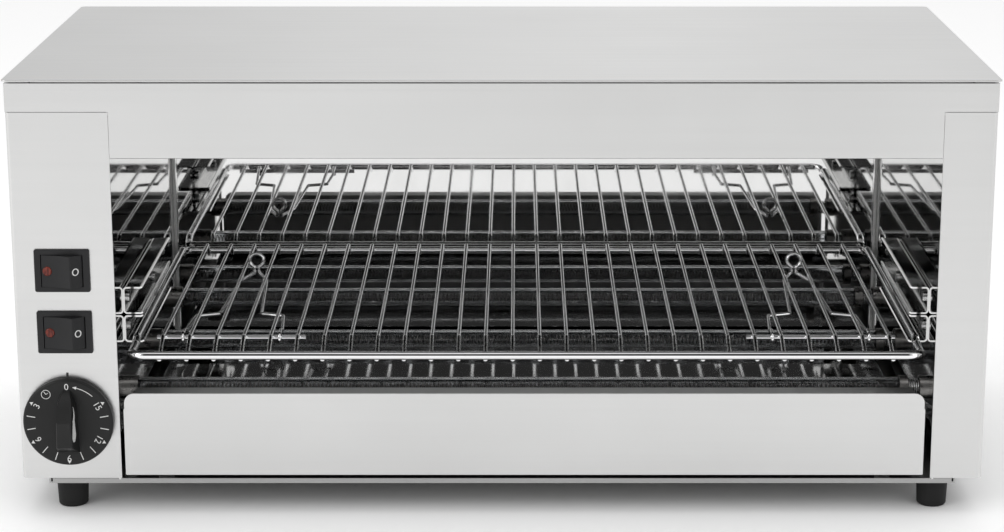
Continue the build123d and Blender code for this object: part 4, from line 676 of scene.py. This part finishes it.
def wound_line(start, end, y, z):
    """Points of one wound wire from a tube's start to its end, straight at both ends."""
    wound_from = start + COIL_LEAD
    wound_to = end - COIL_LEAD
    turns = round((wound_to - wound_from) / COIL_PITCH)
    count = turns * COIL_STEPS
    points = [Vector((start, y, z))]
    for step in range(count + 1):
        inward = min(step, count - step) / COIL_STEPS
        radius = COIL_RADIUS * min(1.0, inward)
        turn = 2 * pi * step / COIL_STEPS
        x = wound_from + (wound_to - wound_from) * step / count
        points.append(Vector((x, y + radius * cos(turn), z + radius * sin(turn))))
    points.append(Vector((end, y, z)))
    return points


def make_heating_wires(material):
    """Wound wire in each quartz tube, one round wire from terminal to terminal."""
    verts = []
    faces = []
    for name in sorted(nodes):
        if "_tube_" not in name or name.endswith("_springs"):
            continue
        low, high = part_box(name)
        line = wound_line(low.x, high.x, (low.y + high.y) / 2, (low.z + high.z) / 2)
        first = len(verts)
        for index, point in enumerate(line):
            ahead = line[min(index + 1, len(line) - 1)] - line[max(index - 1, 0)]
            ahead.normalize()
            side = ahead.cross(Vector((0, 0.1, 1))).normalized()
            up = side.cross(ahead)
            for corner in range(COIL_SIDES):
                turn = 2 * pi * corner / COIL_SIDES
                verts.append(point + COIL_WIRE * (side * cos(turn) + up * sin(turn)))
        rings = len(line)
        for ring in range(rings - 1):
            base = first + ring * COIL_SIDES
            for corner in range(COIL_SIDES):
                following = (corner + 1) % COIL_SIDES
                near = (base + corner, base + following)
                faces.append([*near, near[1] + COIL_SIDES, near[0] + COIL_SIDES])
        faces.append(list(range(first + COIL_SIDES - 1, first - 1, -1)))
        last = first + (rings - 1) * COIL_SIDES
        faces.append(list(range(last, last + COIL_SIDES)))
    piece = new_piece("HeatingWires", verts, faces, material, "cabinet", smooth=True)
    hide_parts("heating_coils")


def make_corner_bands(material):
    """Matte near-white band along each rear corner of the cooking space, on the bend: a painted highlight
    in place of the polished bend's bright reflection.
    """
    low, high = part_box("cavity_rear_wall")
    inset = SHEET + BAND_RADIUS
    rear = FRONT_Y + CAVITY_DEPTH - BAND_RADIUS
    span = BAND_SPAN[1] - BAND_SPAN[0]
    bends = (("CornerBandLeft", 1, low.x + inset), ("CornerBandRight", -1, high.x - inset))
    for name, side, centre in bends:
        verts = []
        faces = []
        for layer in (0.0, BAND_THICK):
            radius = BAND_RADIUS - BAND_LIFT - layer
            for z in (low.z + BAND_END, high.z - BAND_END):
                for step in range(BAND_STEPS + 1):
                    turn = pi / 2 * (BAND_SPAN[0] + span * step / BAND_STEPS)
                    verts.append((centre - side * radius * cos(turn), rear + radius * sin(turn), z))
        row = BAND_STEPS + 1
        for step in range(BAND_STEPS):
            a, b = step, step + 1
            faces.append([a, b, row + b, row + a])
            faces.append([2 * row + b, 2 * row + a, 3 * row + a, 3 * row + b])
            faces.append([b, a, 2 * row + a, 2 * row + b])
            faces.append([row + a, row + b, 3 * row + b, 3 * row + a])
        for a, b in ((0, row), (2 * row - 1, row - 1)):
            faces.append([a, b, 2 * row + b, 2 * row + a])
        outward = faces if side < 0 else [face[::-1] for face in faces]
        new_piece(name, verts, outward, material, "cabinet")


bpy.context.scene.view_settings.view_transform = "Standard"
make_camera()
make_floor()
make_world()
make_lamps()
dress_nodes()
white_ink = printed("WhiteInk")
make_dial_print(white_ink)
make_pointer(white_ink)
make_marks(white_ink, printed("BlackInk", (0.03, 0.03, 0.03)))
# the corner bands' near-white matte colour is a painted highlight on the rear bends
make_corner_bands(printed("CornerPaintedHighlight", (0.92, 0.92, 0.91)))
make_heating_wires(plain_metal("HeatingWire", (0.2, 0.18, 0.17), 0.45, scale=900))
